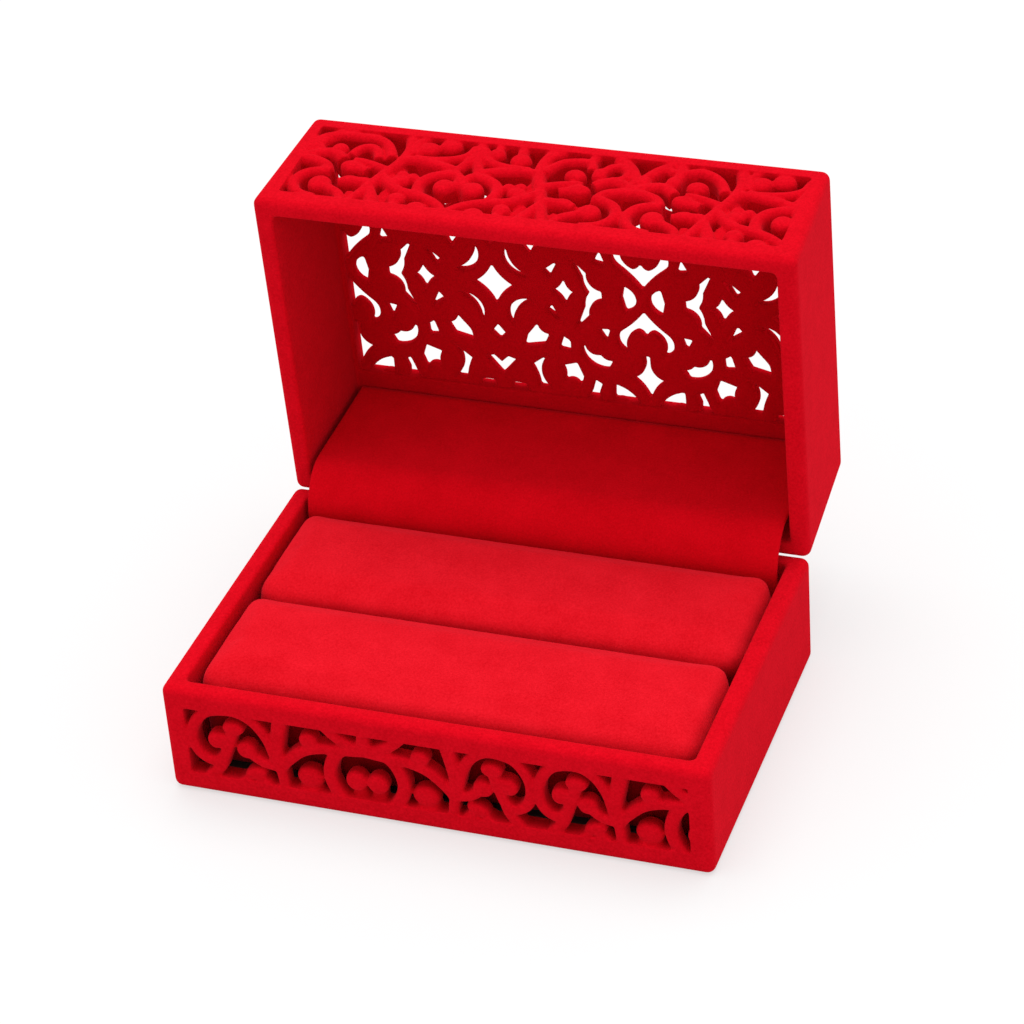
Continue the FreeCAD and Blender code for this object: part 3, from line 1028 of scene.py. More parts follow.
BASE_SCROLLS = ScrollPanel(
    name="base_scrolls",
    spacing=27.9 * MM,
    start=-11.3 * MM,
    widen=0.2 * MM,
    recess=0.05 * MM,
    crest=3.4,
    coin=4.0,
    strokes=(
        Stroke(((0, 13.9), (4.4, 12.1), (6.2, 7.6), (4.4, 3.2), (0, 1.7)), 2.1, 2.1),
        Stroke(
            ((-6.4, 17.0), (-4.6, 15.2), (-2.3, 13.8), (0, 13.1), (4.2, 12.6), (7.5, 12.3), (10.5, 11.2),
             (13.0, 9.0), (14.4, 7.3)), 2.0, 1.8,
        ),
        Stroke(((0, 17.2), (0, 13.4)), 1.9, 2.6),
        Stroke(((13.7, 17.4), (14.6, 13.0), (14.9, 10.0), (14.4, 7.3)), 2.6, 1.7),
        Stroke(((14.6, 7.2), (14.3, 5.0), (14.1, 3.0)), 1.6, 1.6),
        Stroke(((14.6, 7.2), (17.2, 7.8), (19.4, 9.6)), 1.6, 1.8),
        Stroke(
            ((14.9, 7.0), (15.4, 9.5), (16.2, 12.5), (17.9, 15.3), (20.35, 16.8), (23.4, 16.6), (25.5, 15.4),
             (27.1, 12.5), (27.2, 9.5), (26.2, 7.4), (24.4, 6.5), (22.9, 7.6), (22.2, 9.5),
             (21.6, 11.3)), 1.7, 1.8,
        ),
        Stroke(((22.9, 7.6), (23.6, 5.4), (25.4, 3.4)), 1.7, 1.7),
        Stroke(((21.6, 11.3), (23.8, 11.2)), 1.8, 1.8),
        Stroke(((21.6, 11.3), (21.0, 13.8)), 1.8, 1.8),
        Stroke(((9.3, 14.0), (9.3, 12.2)), 1.8, 1.6),
        Stroke(((1.8, 6.2), (1.5, 3.2)), 2.4, 2.6, 0.9),
        Stroke(((9.7, 6.0), (9.9, 3.2)), 3.6, 4.2, 0.5),
        Stroke(((18.3, 5.2), (16.6, 3.2)), 1.8, 2.0),
        Stroke(((20.2, 4.4), (19.4, 3.0)), 1.6, 2.0),
    ),
    buds=(
        Bud(1.8, 7.0, 1.8, 1.9),
        Bud(9.3, 13.6, 1.6, 1.45),
        Bud(9.7, 6.0, 2.3, 2.0, 0, 0.3),
        Bud(18.35, 5.3, 2.0, 1.15, -20),
        Bud(19.4, 9.6, 1.7, 1.6),
        Bud(23.8, 10.7, 1.45, 1.6),
        Bud(21.05, 13.5, 1.85, 1.3),
        Bud(14.6, 7.2, 1.2, 1.2),
    ),
)

LID_SCROLLS = ScrollPanel(
    name="lid_scrolls",
    spacing=27.9 * MM,
    start=-13.4 * MM,
    bud_depth=1.6 * MM,
    band_depth=1.35,
    back=3.2 * MM,
    strokes=(
        Stroke(
            ((5.9, 7.7), (6.5, 9.5), (6.4, 11.3), (5.4, 12.9), (3.6, 13.9), (1.8, 14.2), (0.7, 13.4),
             (0.4, 12.0),
             (1.0, 10.9), (2.4, 10.5)), 2.0, 1.8,
        ),
        Stroke(
            ((0.2, 3.4), (1.9, 5.4), (4.2, 6.8), (6.9, 7.6), (9.4, 8.3), (11.4, 9.7), (13.1, 11.5)), 1.8, 1.8,
        ),
        Stroke(((1.2, 15.0), (3.4, 15.9), (5.4, 16.4), (7.4, 16.8), (9.2, 17.2), (11.2, 16.9)), 1.8, 1.8),
        Stroke(
            ((12.2, 23.6), (11.4, 20.5), (11.5, 17.5), (12.4, 14.3), (13.6, 11.3), (14.7, 8.0), (15.8, 4.8),
             (16.4, 3.2)), 2.3, 1.6,
        ),
        Stroke(((0, 23.6), (0.1, 20.5), (0.5, 18.8), (1.1, 17.2), (1.7, 15.7)), 2.0, 1.6),
        Stroke(((0.8, 22.2), (1.4, 19.9), (3.1, 18.5), (5.4, 17.8), (7.4, 17.5), (9.8, 17.5)), 1.6, 1.6),
        Stroke(((21.2, 15.2), (22.4, 16.3), (23.8, 17.0), (25.6, 16.6), (27.9, 15.2)), 2.0, 2.0),
        Stroke(((22.9, 23.4), (25.4, 21.5), (26.9, 19.0), (27.9, 16.5)), 2.4, 2.0),
        Stroke(((13.2, 13.4), (15.4, 14.3), (17.9, 15.0), (19.4, 15.0)), 1.6, 1.4),
        Stroke(((16.2, 12.6), (18.8, 13.4)), 1.6, 1.8),
        Stroke(((15.2, 9.6), (18.0, 9.4), (20.0, 8.8)), 2.4, 1.4),
        Stroke(
            ((22.1, 11.6), (24.2, 11.3), (26.1, 10.2), (27.0, 8.2), (26.5, 6.0), (24.8, 4.4),
             (22.2, 3.7)), 1.8, 1.8,
        ),
        Stroke(((17.6, 3.2), (18.6, 5.4), (20.4, 6.6), (22.4, 7.8)), 1.6, 1.8),
        Stroke(((22.7, 11.5), (23.6, 13.3), (25.9, 14.3), (27.9, 14.4)), 1.9, 1.9),
        Stroke(((8.9, 5.7), (8.6, 3.2)), 2.2, 2.0),
        Stroke(((9.6, 10.9), (10.6, 9.2)), 1.4, 1.4),
        Stroke(((12.2, 3.2), (13.3, 6.0), (14.3, 8.4)), 3.1, 1.2),
        Stroke(((0, 3.0), (0, 5.4)), 2.6, 2.2, 1.1),
        Stroke(((10.4, 11.2), (12.6, 12.6)), 2.2, 2.2, 0.7),
        Stroke(((16.9, 3.0), (17.1, 4.6)), 2.4, 2.2, 0.5),
        Stroke(((10.9, 5.0), (11.7, 8.6)), 2.8, 2.0, 1.0),
        Stroke(((16.6, 4.6), (17.4, 7.4)), 2.0, 1.8, 1.0),
        Stroke(((10.8, 13.4), (11.6, 15.6)), 2.2, 2.2, 1.1),
    ),
    buds=(
        Bud(2.4, 10.6, 1.9, 1.9),
        Bud(22.7, 7.9, 2.0, 2.0),
        Bud(8.9, 5.7, 1.6, 1.5),
        Bud(8.1, 11.9, 1.15, 1.15),
        Bud(10.0, 12.3, 1.2, 1.1),
        Bud(9.9, 10.7, 1.8, 1.5, -20),
        Bud(19.1, 13.4, 2.2, 1.5, 12),
        Bud(18.0, 9.4, 2.0, 1.2, -8),
        Bud(4.8, 3.5, 2.0, 2.0),
    ),
)

LID_BACK_ROW = ScrollPanel(
    name="lid_back_row",
    spacing=27.9 * MM,
    start=0.0,
    bud_depth=1.6 * MM,
    band_depth=1.35,
    back=3.2 * MM,
    mirrored=False,
    strokes=(
        Stroke(
            ((-41.2, 16.6), (-41.0, 19.4), (-39.7, 21.3), (-37.6, 22.0), (-34.6, 22.1), (-31.5, 22.1),
             (-29.3, 21.0), (-28.0, 19.2), (-27.0, 17.0)), 1.6, 1.8,
        ),
        Stroke(((-35.4, 23.6), (-35.5, 22.0)), 1.8, 1.8),
        Stroke(
            ((-33.8, 16.4), (-33.5, 17.7), (-32.7, 18.9), (-31.5, 19.4), (-30.4, 19.0), (-29.5, 17.7),
             (-29.0, 16.2)), 1.5, 1.5,
        ),
        Stroke(((-39.6, 19.9), (-39.9, 18.4), (-39.2, 17.2)), 1.4, 1.4),
        Stroke(((-22.6, 23.6), (-23.6, 22.2), (-23.9, 20.5), (-23.4, 18.4)), 1.7, 1.6),
        Stroke(((-10.2, 23.6), (-10.3, 21.4)), 1.6, 1.6),
        Stroke(((-6.4, 23.6), (-6.1, 20.6)), 1.8, 1.8),
        Stroke(
            ((-1.0, 17.4), (-0.2, 19.2), (1.2, 20.8), (3.0, 21.4), (4.8, 21.6), (5.9, 20.9),
             (6.3, 19.4)), 1.5, 1.5
        ),
        Stroke(((5.9, 23.6), (5.6, 21.4)), 1.7, 1.7),
        Stroke(((-2.2, 21.2), (-0.8, 22.4), (0.6, 23.6)), 1.6, 1.6),
        Stroke(
            ((8.4, 19.6), (9.2, 20.8), (10.6, 21.1), (11.9, 20.3), (12.3, 18.9), (11.6, 17.6),
             (10.2, 17.2)), 1.5, 1.5
        ),
        Stroke(((16.4, 19.6), (17.0, 21.1), (18.2, 21.6), (19.6, 21.0)), 1.4, 1.4),
        Stroke(((20.3, 23.6), (20.6, 20.6), (20.2, 18.8)), 2.1, 1.8),
        Stroke(
            ((21.2, 21.2), (23.4, 22.1), (25.3, 21.7), (26.8, 20.7), (28.0, 19.2), (29.0, 17.0)), 1.7, 1.7,
        ),
        Stroke(((33.0, 23.6), (32.2, 22.0), (32.0, 20.4), (32.4, 18.4)), 1.5, 1.5),
        Stroke(((6.8, 8.8), (8.6, 10.4)), 1.7, 1.7, 1.0),
    ),
    buds=(
        Bud(-36.3, 18.0, 1.5, 1.5),
        Bud(-21.7, 20.6, 1.9, 1.8),
        Bud(-18.5, 22.1, 2.0, 1.8),
        Bud(-10.3, 21.1, 1.5, 1.5),
        Bud(-5.95, 20.1, 1.85, 1.75),
        Bud(4.05, 17.5, 1.85, 1.6),
        Bud(7.8, 18.5, 1.3, 1.7),
        Bud(20.1, 18.4, 1.35, 1.6),
        Bud(15.6, 17.7, 1.1, 1.4),
        Bud(24.3, 17.6, 1.9, 1.6),
        Bud(34.0, 20.6, 1.9, 1.8),
        Bud(37.3, 21.9, 2.0, 1.8),
    ),
)


@dataclass(frozen=True)
class Window:
    """Window of a flocked wall, with the border that seats its scroll panel.

    Args:
        half_width: half of the clear width.
        bottom: lower edge of the clear window.
        top: upper edge of the clear window.
        border: width of the seat round the window.
        overlap: how far the border runs into the wall, so that both fuse.
        depth: depth of the seat.
        wall: depth that the gaps reach at most.
        unshaded_depth: depth down to which the gaps get no painted shade.
        margin: how far past the clear edges the painted shade still reaches.
    """

    half_width: float
    bottom: float
    top: float
    border: float = 0.8 * MM
    overlap: float = 0.3 * MM
    depth: float = 2.3 * MM
    wall: float = 3.1 * MM
    unshaded_depth: float = 0.35 * MM
    margin: float = 0.25 * MM

    def ring(self) -> bpy.types.Mesh:
        """Flat ring that fills the seat.

        Returns:
            The ring's mesh: X along the wall, Y up it and Z out of it.
        """
        reach = self.border + self.overlap
        points, faces = [], []
        for grow, z in ((0.0, 0.0), (reach, 0.0), (reach, -self.depth), (0.0, -self.depth)):
            x, y0, y1 = self.half_width + grow, self.bottom - grow, self.top + grow
            points += [(-x, y0, z), (x, y0, z), (x, y1, z), (-x, y1, z)]
        for a, b in ((0, 4), (4, 8), (8, 12), (12, 0)):
            faces += [(a + i, b + i, b + j, a + j) for i, j in ((0, 1), (1, 2), (2, 3), (3, 0))]
        return mesh_of(points, faces)

    def painted_shade_share(self, co: np.ndarray, face_y: float) -> np.ndarray:
        """How much painted shade points in the gaps of a front wall's window get, more with depth.

        Args:
            co: rows of points, in the box's frame.
            face_y: y of the wall's outer face.

        Returns:
            For each point, its share of painted shade: 0 at the face or outside the window to 1 at the back
            of the wall.
        """
        depth = co[:, 1] - face_y
        inside = (depth < self.wall) & (np.abs(co[:, 0]) < self.half_width + self.margin)
        inside &= (co[:, 2] > self.bottom - self.margin) & (co[:, 2] < self.top + self.margin)
        return np.clip((depth - self.unshaded_depth) / (self.depth - self.unshaded_depth), 0.0, 1.0) * inside


@dataclass(frozen=True)
class Hinge:
    """Turn of the lid about the hinge pin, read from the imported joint.

    Args:
        place: a point on the pin's axis.
        axis: direction of the axis.
        open_angle: angle from closed to open.
    """

    place: Vector
    axis: Vector
    open_angle: float

    @classmethod
    def of(cls, joint: dict) -> "Hinge":
        """Hinge of a packed joint whose rest pose is fully open.

        Args:
            joint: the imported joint.

        Returns:
            The hinge.
        """
        return cls(Vector(joint["pos_m"]), Vector(joint["axis"]), math.radians(-joint["range_deg"][0]))

    def opening(self) -> Matrix:
        """Turn that takes the closed lid to its open rest pose."""
        turn = Matrix.Rotation(self.open_angle, 4, self.axis)
        return Matrix.Translation(self.place) @ turn @ Matrix.Translation(-self.place)


@dataclass(frozen=True)
class LidInsideShade:
    """Space inside the closed lid, where painted shade darkens the flock towards the top.

    Args:
        low: lowest corner of the space inside the lid's outer faces.
        high: its highest corner.
        fade: height above the rim over which the painted shade grows.
        most: share of painted shade at the top.
    """

    low: Point3 = (-42.6 * MM, -28.2 * MM, 20.4 * MM)
    high: Point3 = (42.6 * MM, 28.4 * MM, 45.4 * MM)
    fade: float = 12.0 * MM
    most: float = 0.55

    def painted_shade_share(self, mesh: bpy.types.Mesh) -> np.ndarray:
        """How much painted shade each vertex of a piece of the lid gets.

        Args:
            mesh: the piece in the closed pose.

        Returns:
            For each vertex, 0 on the outside to the most at the top of the inside.
        """
        co, normals = coordinates(mesh), np.empty(len(mesh.vertices) * 3)
        mesh.vertex_normals.foreach_get("vector", normals)
        low, high = np.array(self.low), np.array(self.high)
        inside = ((co > low) & (co < high)).all(1)
        inside &= (((low + high) / 2 - co) * normals.reshape(-1, 3)).sum(1) > 0.0
        return inside * np.clip((co[:, 2] - low[2]) / self.fade, 0.0, 1.0) * self.most


def wall_place(face_y: float, foot_z: float) -> Matrix:
    """Place of a panel's own frame on a front wall.

    Args:
        face_y: y of the wall's outer face.
        foot_z: height from which the panel measures.

    Returns:
        Matrix that takes panel X, Y and Z to the box's X, Z and -Y.
    """
    return Matrix(((1, 0, 0, 0), (0, 0, -1, face_y), (0, 1, 0, foot_z), (0, 0, 0, 1)))


@dataclass
class FlockedTray:
    """Base of the box: tray with a scroll strip in its front wall, one flocked skin.

    Args:
        front_face: y of the front wall's outer face.
        window: window in the front wall.
        scrolls: ornament of the window.
        split: distance from the first mirror line, in millimetres, where the left end's wider scroll starts.
        left_stretch: how much wider that scroll is.
        moulding: how the skin is made.
    """

    front_face: float = -29.25 * MM
    window: Window = Window(half_width=41.4 * MM, bottom=3.8 * MM, top=16.4 * MM)
    scrolls: ScrollPanel = BASE_SCROLLS
    split: float = 14.6
    left_stretch: float = 1.155
    moulding: Moulding = Moulding()

    def build(self, nodes: dict[str, bpy.types.Object]) -> bpy.types.Object:
        """Build and dress the tray.

        Args:
            nodes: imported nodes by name.

        Returns:
            The tray's piece, riding on the base.
        """
        material = RED_FLOCK.material()
        place = wall_place(self.front_face, 0.0)
        scrolls = self.scrolls.split_left(self.split, self.left_stretch)
        parts = [self.window.ring(), *(panel.mesh(material) for panel in scrolls)]
        for part in parts:
            part.transform(place)
        mesh = self.moulding.finish(self.moulding.fuse([node_copy(nodes["base_shell"]), *parts]))
        # Painted shade in the front window's gaps, darker with depth.
        mark_painted_shade(mesh, self.window.painted_shade_share(coordinates(mesh), self.front_face))
        dress(mesh, material)
        piece = new_object("flocked_tray", mesh)
        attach(piece, Body.BASE.value)
        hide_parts("base_shell", "base_front_filigree")
        return piece


@dataclass
class FlockedLid:
    """Lid of the box: shell with a scroll panel in its front, one flocked skin.

    Args:
        hinge: hinge that opens the lid.
        rim: height of the closed lid's rim.
        front_face: y of the closed lid's front face.
        top_face: height of the closed lid's top face.
        front_window: window in the front wall.
        top_window: window in the top, whose seat is filled up to its clear edge.
        scrolls: ornament of the front window.
        inside: where painted shade darkens the flock.
        moulding: how the skin is made.
    """

    hinge: Hinge
    rim: float = 20.4 * MM
    front_face: float = -29.25 * MM
    top_face: float = 46.4 * MM
    front_window: Window = Window(half_width=41.4 * MM, bottom=3.6 * MM, top=23.2 * MM)
    top_window: Window = Window(half_width=41.0 * MM, bottom=-21.5 * MM, top=20.5 * MM, depth=2.0 * MM)
    scrolls: tuple[ScrollPanel, ...] = (LID_SCROLLS, LID_BACK_ROW)
    inside: LidInsideShade = LidInsideShade()
    moulding: Moulding = Moulding()

    def build(self, nodes: dict[str, bpy.types.Object]) -> bpy.types.Object:
        """Build and dress the lid.

        Args:
            nodes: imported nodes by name.

        Returns:
            The lid's piece, riding on the lid.
        """
        material = RED_FLOCK.material()
        place = wall_place(self.front_face, self.rim)
        parts = [self.front_window.ring(), *(panel.mesh(material) for panel in self.scrolls)]
        for part in parts:
            part.transform(place)
        top_ring = self.top_window.ring()
        top_ring.transform(Matrix.Translation((0.0, 0.0, self.top_face)))
        shell = node_copy(nodes["lid_shell"])
        shell.transform(self.hinge.opening().inverted())
        mesh = self.moulding.finish(self.moulding.fuse([shell, top_ring, *parts]))
        # Painted shade inside the lid, darker towards its top.
        mark_painted_shade(mesh, self.inside.painted_shade_share(mesh))
        mesh.transform(self.hinge.opening())
        dress(mesh, material)
        piece = new_object("flocked_lid", mesh)
        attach(piece, Body.LID.value)
        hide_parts("lid_shell", "lid_front_filigree")
        return piece


@dataclass
class LidTopPanel:
    """Pierced scroll panel in the lid's top, with rounded bars.

    Args:
        hinge: hinge that opens the lid.
        top_face: height of the closed lid's top face.
        sunk: how far the panel's face lies under it.
        thickness: thickness of the panel.
        grow: how much wider the panel is than its seat, so that no seam shows.
        open_up: how far the walls of the gaps are moved into the bars.
        bar_round: distance over which a bar is rounded from a gap's edge.
        bar_edge: share of the thickness left at a gap's edge.
        outline: how near to the panel's outline a wall is part of it.
        border: width of the outermost strip, in which no gap's edge lies.
        face_depth: depth within which an edge counts as lying on the panel's face.
        edge_step: distance between points along a gap's edge.
        sharpest: smallest share of a corner's own wall in its outward way, which limits how far it moves.
        inside: where painted shade darkens the flock.
        moulding: how the skin is made.
    """

    hinge: Hinge
    top_face: float = 46.4 * MM
    sunk: float = 0.04 * MM
    thickness: float = 2.0 * MM
    grow: float = 0.15 * MM
    open_up: float = 0.1 * MM
    bar_round: float = 1.1 * MM
    bar_edge: float = 0.4
    outline: float = 0.1 * MM
    border: float = 0.4 * MM
    face_depth: float = 0.2 * MM
    edge_step: float = 0.1 * MM
    sharpest: float = 0.45
    inside: LidInsideShade = LidInsideShade()
    moulding: Moulding = Moulding(voxel=0.16 * MM, soften=3)

    def closed_copy(self, node: bpy.types.Object) -> bpy.types.Mesh:
        """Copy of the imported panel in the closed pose, with wider gaps and a wider border.

        Args:
            node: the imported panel.

        Returns:
            The copy, still with sharp edges.
        """
        mesh = node_copy(node)
        mesh.transform(self.hinge.opening().inverted())
        co = coordinates(mesh)
        low, high = co.min(0) + self.outline, co.max(0) - self.outline
        with edited(mesh) as bm:
            bm.normal_update()
            moves = {}
            for vertex in bm.verts:
                walls = [f.normal.xy for f in vertex.link_faces if abs(f.normal.z) < STEEP]
                outward = sum(walls, Vector((0.0, 0.0)))
                if outward.length < MERGE:
                    continue
                outward.normalize()
                rim = not all(low[k] < vertex.co[k] < high[k] for k in (0, 1))
                share = max(self.sharpest, min(outward.dot(w) for w in walls))
                moves[vertex] = outward * ((self.grow if rim else -self.open_up) / share)
            for vertex, move in moves.items():
                vertex.co.xy += move
                vertex.co.z -= self.sunk
        return mesh

    def gap_edges(self, panel: bpy.types.Mesh) -> list[Point2]:
        """Points along the gaps' edges on the panel's outer face.

        Args:
            panel: the panel in the closed pose.

        Returns:
            Points in plan, a fraction of a millimetre apart.
        """
        half = coordinates(panel).max(0)[0] - self.border
        points: list[Point2] = []
        with edited(panel) as bm:
            bm.normal_update()
            for edge in bm.edges:
                a, b = (v.co for v in edge.verts)
                outer = min(a.z, b.z) > self.top_face - self.face_depth
                wall = any(abs(f.normal.z) < STEEP for f in edge.link_faces)
                if outer and wall and max(abs(a.x), abs(b.x)) < half:
                    count = max(1, math.ceil((b - a).length / self.edge_step))
                    points += [tuple(a.lerp(b, i / count).xy) for i in range(count)]
        return points

    def round_bars(self, mesh: bpy.types.Mesh, edges: list[Point2]) -> None:
        """Round the bars between the gaps, on both faces.

        Args:
            mesh: the even panel in the closed pose.
            edges: points along the gaps' edges.
        """
        tree = kdtree.KDTree(len(edges))
        for i, (x, y) in enumerate(edges):
            tree.insert((x, y, 0.0), i)
        tree.balance()
        co = coordinates(mesh)
        middle = self.top_face - self.sunk - self.thickness / 2
        for i in range(len(co)):
            distance = tree.find((co[i, 0], co[i, 1], 0.0))[2]
            if distance < self.bar_round:
                t = 1.0 - distance / self.bar_round
                share = self.bar_edge + (1.0 - self.bar_edge) * math.sqrt(1.0 - t * t)
                co[i, 2] = middle + (co[i, 2] - middle) * share
        set_coordinates(mesh, co)

    def build(self, nodes: dict[str, bpy.types.Object]) -> bpy.types.Object:
        """Build and dress the panel.

        Args:
            nodes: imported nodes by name.

        Returns:
            The panel's piece, riding on the lid.
        """
        panel = self.closed_copy(nodes["lid_top_filigree"])
        mesh = self.moulding.fuse([panel])
        self.round_bars(mesh, self.gap_edges(panel))
        mesh = self.moulding.finish(mesh)
        # Painted shade inside the lid, darker towards its top.
        mark_painted_shade(mesh, self.inside.painted_shade_share(mesh))
        mesh.transform(self.hinge.opening())
        dress(mesh, RED_FLOCK.material())
        piece = new_object("lid_top_panel", mesh)
        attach(piece, Body.LID.value)
        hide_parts("lid_top_filigree")
        return piece


@dataclass
class RingRoll:
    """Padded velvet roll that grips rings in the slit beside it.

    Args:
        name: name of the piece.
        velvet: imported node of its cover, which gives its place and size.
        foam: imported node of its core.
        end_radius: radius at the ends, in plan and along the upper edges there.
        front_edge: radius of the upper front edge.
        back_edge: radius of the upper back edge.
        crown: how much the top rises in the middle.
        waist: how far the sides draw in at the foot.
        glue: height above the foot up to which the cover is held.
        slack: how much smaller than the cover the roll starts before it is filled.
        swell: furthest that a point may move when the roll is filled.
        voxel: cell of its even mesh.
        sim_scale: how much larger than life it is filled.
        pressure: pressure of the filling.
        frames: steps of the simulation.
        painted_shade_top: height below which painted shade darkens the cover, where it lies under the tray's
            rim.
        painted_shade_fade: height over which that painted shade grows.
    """

    name: str
    velvet: str
    foam: str
    end_radius: float = 2.4 * MM
    front_edge: float = 3.0 * MM
    back_edge: float = 1.7 * MM
    crown: float = 0.5 * MM
    waist: float = 0.6 * MM
    glue: float = 1.2 * MM
    slack: float = 0.25 * MM
    swell: float = 0.6 * MM
    voxel: float = 1.0 * MM
    sim_scale: float = 20.0
    pressure: float = 4.0
    frames: int = 20
    painted_shade_top: float = 18.5 * MM
    painted_shade_fade: float = 3.0 * MM

    def section(self, half: float, foot: float, top: float) -> list[Point2]:
        """Closed outline of the roll across its length, from the front of the foot round over the top.

        Args:
            half: half of the width.
            foot: height of the foot.
            top: height of the crown.

        Returns:
            Points as distance from the middle and height.
        """
        shoulder = top - self.crown
        front, back = self.front_edge, self.back_edge
        between = 2 * half - front - back
        points = []
        for t in np.linspace(0, 1, 9):
            points.append((-half + self.waist * (1 - t) ** 2, foot + (shoulder - front - foot) * t))
        for a in np.linspace(0, math.pi / 2, 7)[1:]:
            points.append((-half + front - front * math.cos(a), shoulder - front + front * math.sin(a)))
        for t in np.linspace(0, 1, 21)[1:-1]:
            points.append((-half + front + between * t, shoulder + self.crown * 4 * t * (1 - t)))
        for a in np.linspace(math.pi / 2, 0, 7)[:-1]:
            points.append((half - back + back * math.cos(a), shoulder - back + back * math.sin(a)))
        for t in np.linspace(1, 0, 9):
            points.append((half - self.waist * (1 - t) ** 2, foot + (shoulder - back - foot) * t))
        points += [(t * (half - self.waist), foot) for t in np.linspace(1, -1, 13)[1:-1]]
        return points

    def slack_mesh(self) -> bpy.types.Mesh:
        """Roll before it is filled.

        Returns:
            Sections along its length, drawn in at the ends.
        """
        low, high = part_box(self.velvet)
        middle = (low.y + high.y) / 2
        length = (high.x - low.x) / 2 - self.slack
        half = (high.y - low.y) / 2 - self.slack
        radius = self.end_radius
        bend = [length - radius + radius * math.sin(a) for a in np.linspace(0, math.pi / 2, 6)]
        straight = np.linspace(-1, 1, 33)[1:-1] * (length - radius)
        stations = [-x for x in reversed(bend)] + list(straight) + bend
        vertices = []
        for x in stations:
            past = max(0.0, abs(x) - (length - radius)) / radius
            drawn_in = radius * (1 - math.sqrt(max(0.0, 1 - past * past)))
            outline = self.section(half - drawn_in, low.z, high.z - self.slack - drawn_in)
            vertices += [(x, middle + y, z) for y, z in outline]
        count, last = len(outline), len(vertices)
        ends = [tuple(range(count - 1, -1, -1)), tuple(range(last - count, last))]
        mesh = mesh_of(vertices, loft_faces(count, len(stations)) + ends)
        with edited(mesh) as bm:
            bmesh.ops.recalc_face_normals(bm, faces=bm.faces)
        return mesh

    def remeshed(self, mesh: bpy.types.Mesh) -> bpy.types.Mesh:
        """Even quads over the roll, for the cloth.

        Args:
            mesh: the roll before it is filled.

        Returns:
            The even mesh.
        """
        obj = new_object("roll_cloth", mesh)
        add_modifier(obj, "REMESH", mode="VOXEL", voxel_size=self.voxel)
        add_modifier(obj, "SMOOTH", factor=0.5, iterations=3)
        return settled(obj)

    def filled(self, mesh: bpy.types.Mesh) -> bpy.types.Mesh:
        """Fill the roll by a cloth simulation under pressure, at a larger scale where cloth behaves well.

        Args:
            mesh: the even roll.

        Returns:
            The roll with its points moved by at most the swell.
        """
        rest = coordinates(mesh)
        foot = rest[:, 2].min()
        cloth_mesh = mesh.copy()
        set_coordinates(cloth_mesh, rest * self.sim_scale)
        obj = new_object("roll_sim", cloth_mesh)
        held = obj.vertex_groups.new(name="glued")
        held.add([int(i) for i in np.nonzero(rest[:, 2] < foot + self.glue)[0]], 1.0, "REPLACE")
        cloth = add_modifier(obj, "CLOTH")
        cloth.settings.use_pressure = True
        cloth.settings.uniform_pressure_force = self.pressure
        cloth.settings.vertex_group_mass = held.name
        cloth.settings.effector_weights.gravity = 0.0
        cloth.collision_settings.use_collision = False
        cloth.point_cache.frame_start = 1
        cloth.point_cache.frame_end = self.frames
        scene = bpy.context.scene
        for frame in range(1, self.frames + 1):
            scene.frame_set(frame)
        graph = bpy.context.evaluated_depsgraph_get()
        moved = coordinates(obj.evaluated_get(graph).to_mesh()) / self.sim_scale - rest
        scene.frame_set(1)
        bpy.data.objects.remove(obj)
        size = np.linalg.norm(moved, axis=1, keepdims=True)
        moved *= np.minimum(1.0, self.swell / np.maximum(size, 1e-9))
        set_coordinates(mesh, rest + moved)
        LOG.info("%s filled: points moved %.2f mm at most", self.name, min(size.max(), self.swell) / MM)
        return mesh

    def build(self) -> bpy.types.Object:
        """Build, fill and dress the roll.

        Returns:
            The roll's piece, riding on the base.
        """
        mesh = self.remeshed(self.slack_mesh())
        mesh = self.filled(mesh)
        low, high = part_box(self.velvet)
        co = coordinates(mesh)
        co[:, :2] = np.clip(co[:, :2], (low.x, low.y), (high.x, high.y))
        co[:, 2] = np.maximum(co[:, 2], low.z)
        set_coordinates(mesh, co)
        obj = new_object("roll_even", mesh)
        add_modifier(obj, "SMOOTH", factor=0.5, iterations=2)
        add_modifier(obj, "SUBSURF", levels=1, render_levels=1)
        mesh = settled(obj)
        shade_smooth(mesh)
        # Painted shade on the roll's lower part, below the tray's rim.
        mark_painted_shade(mesh, (self.painted_shade_top - coordinates(mesh)[:, 2]) / self.painted_shade_fade)
        dress(mesh, RED_VELVET.material())
        piece = new_object(self.name, mesh)
        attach(piece, Body.BASE.value)
        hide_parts(self.velvet, self.foam)
        return piece


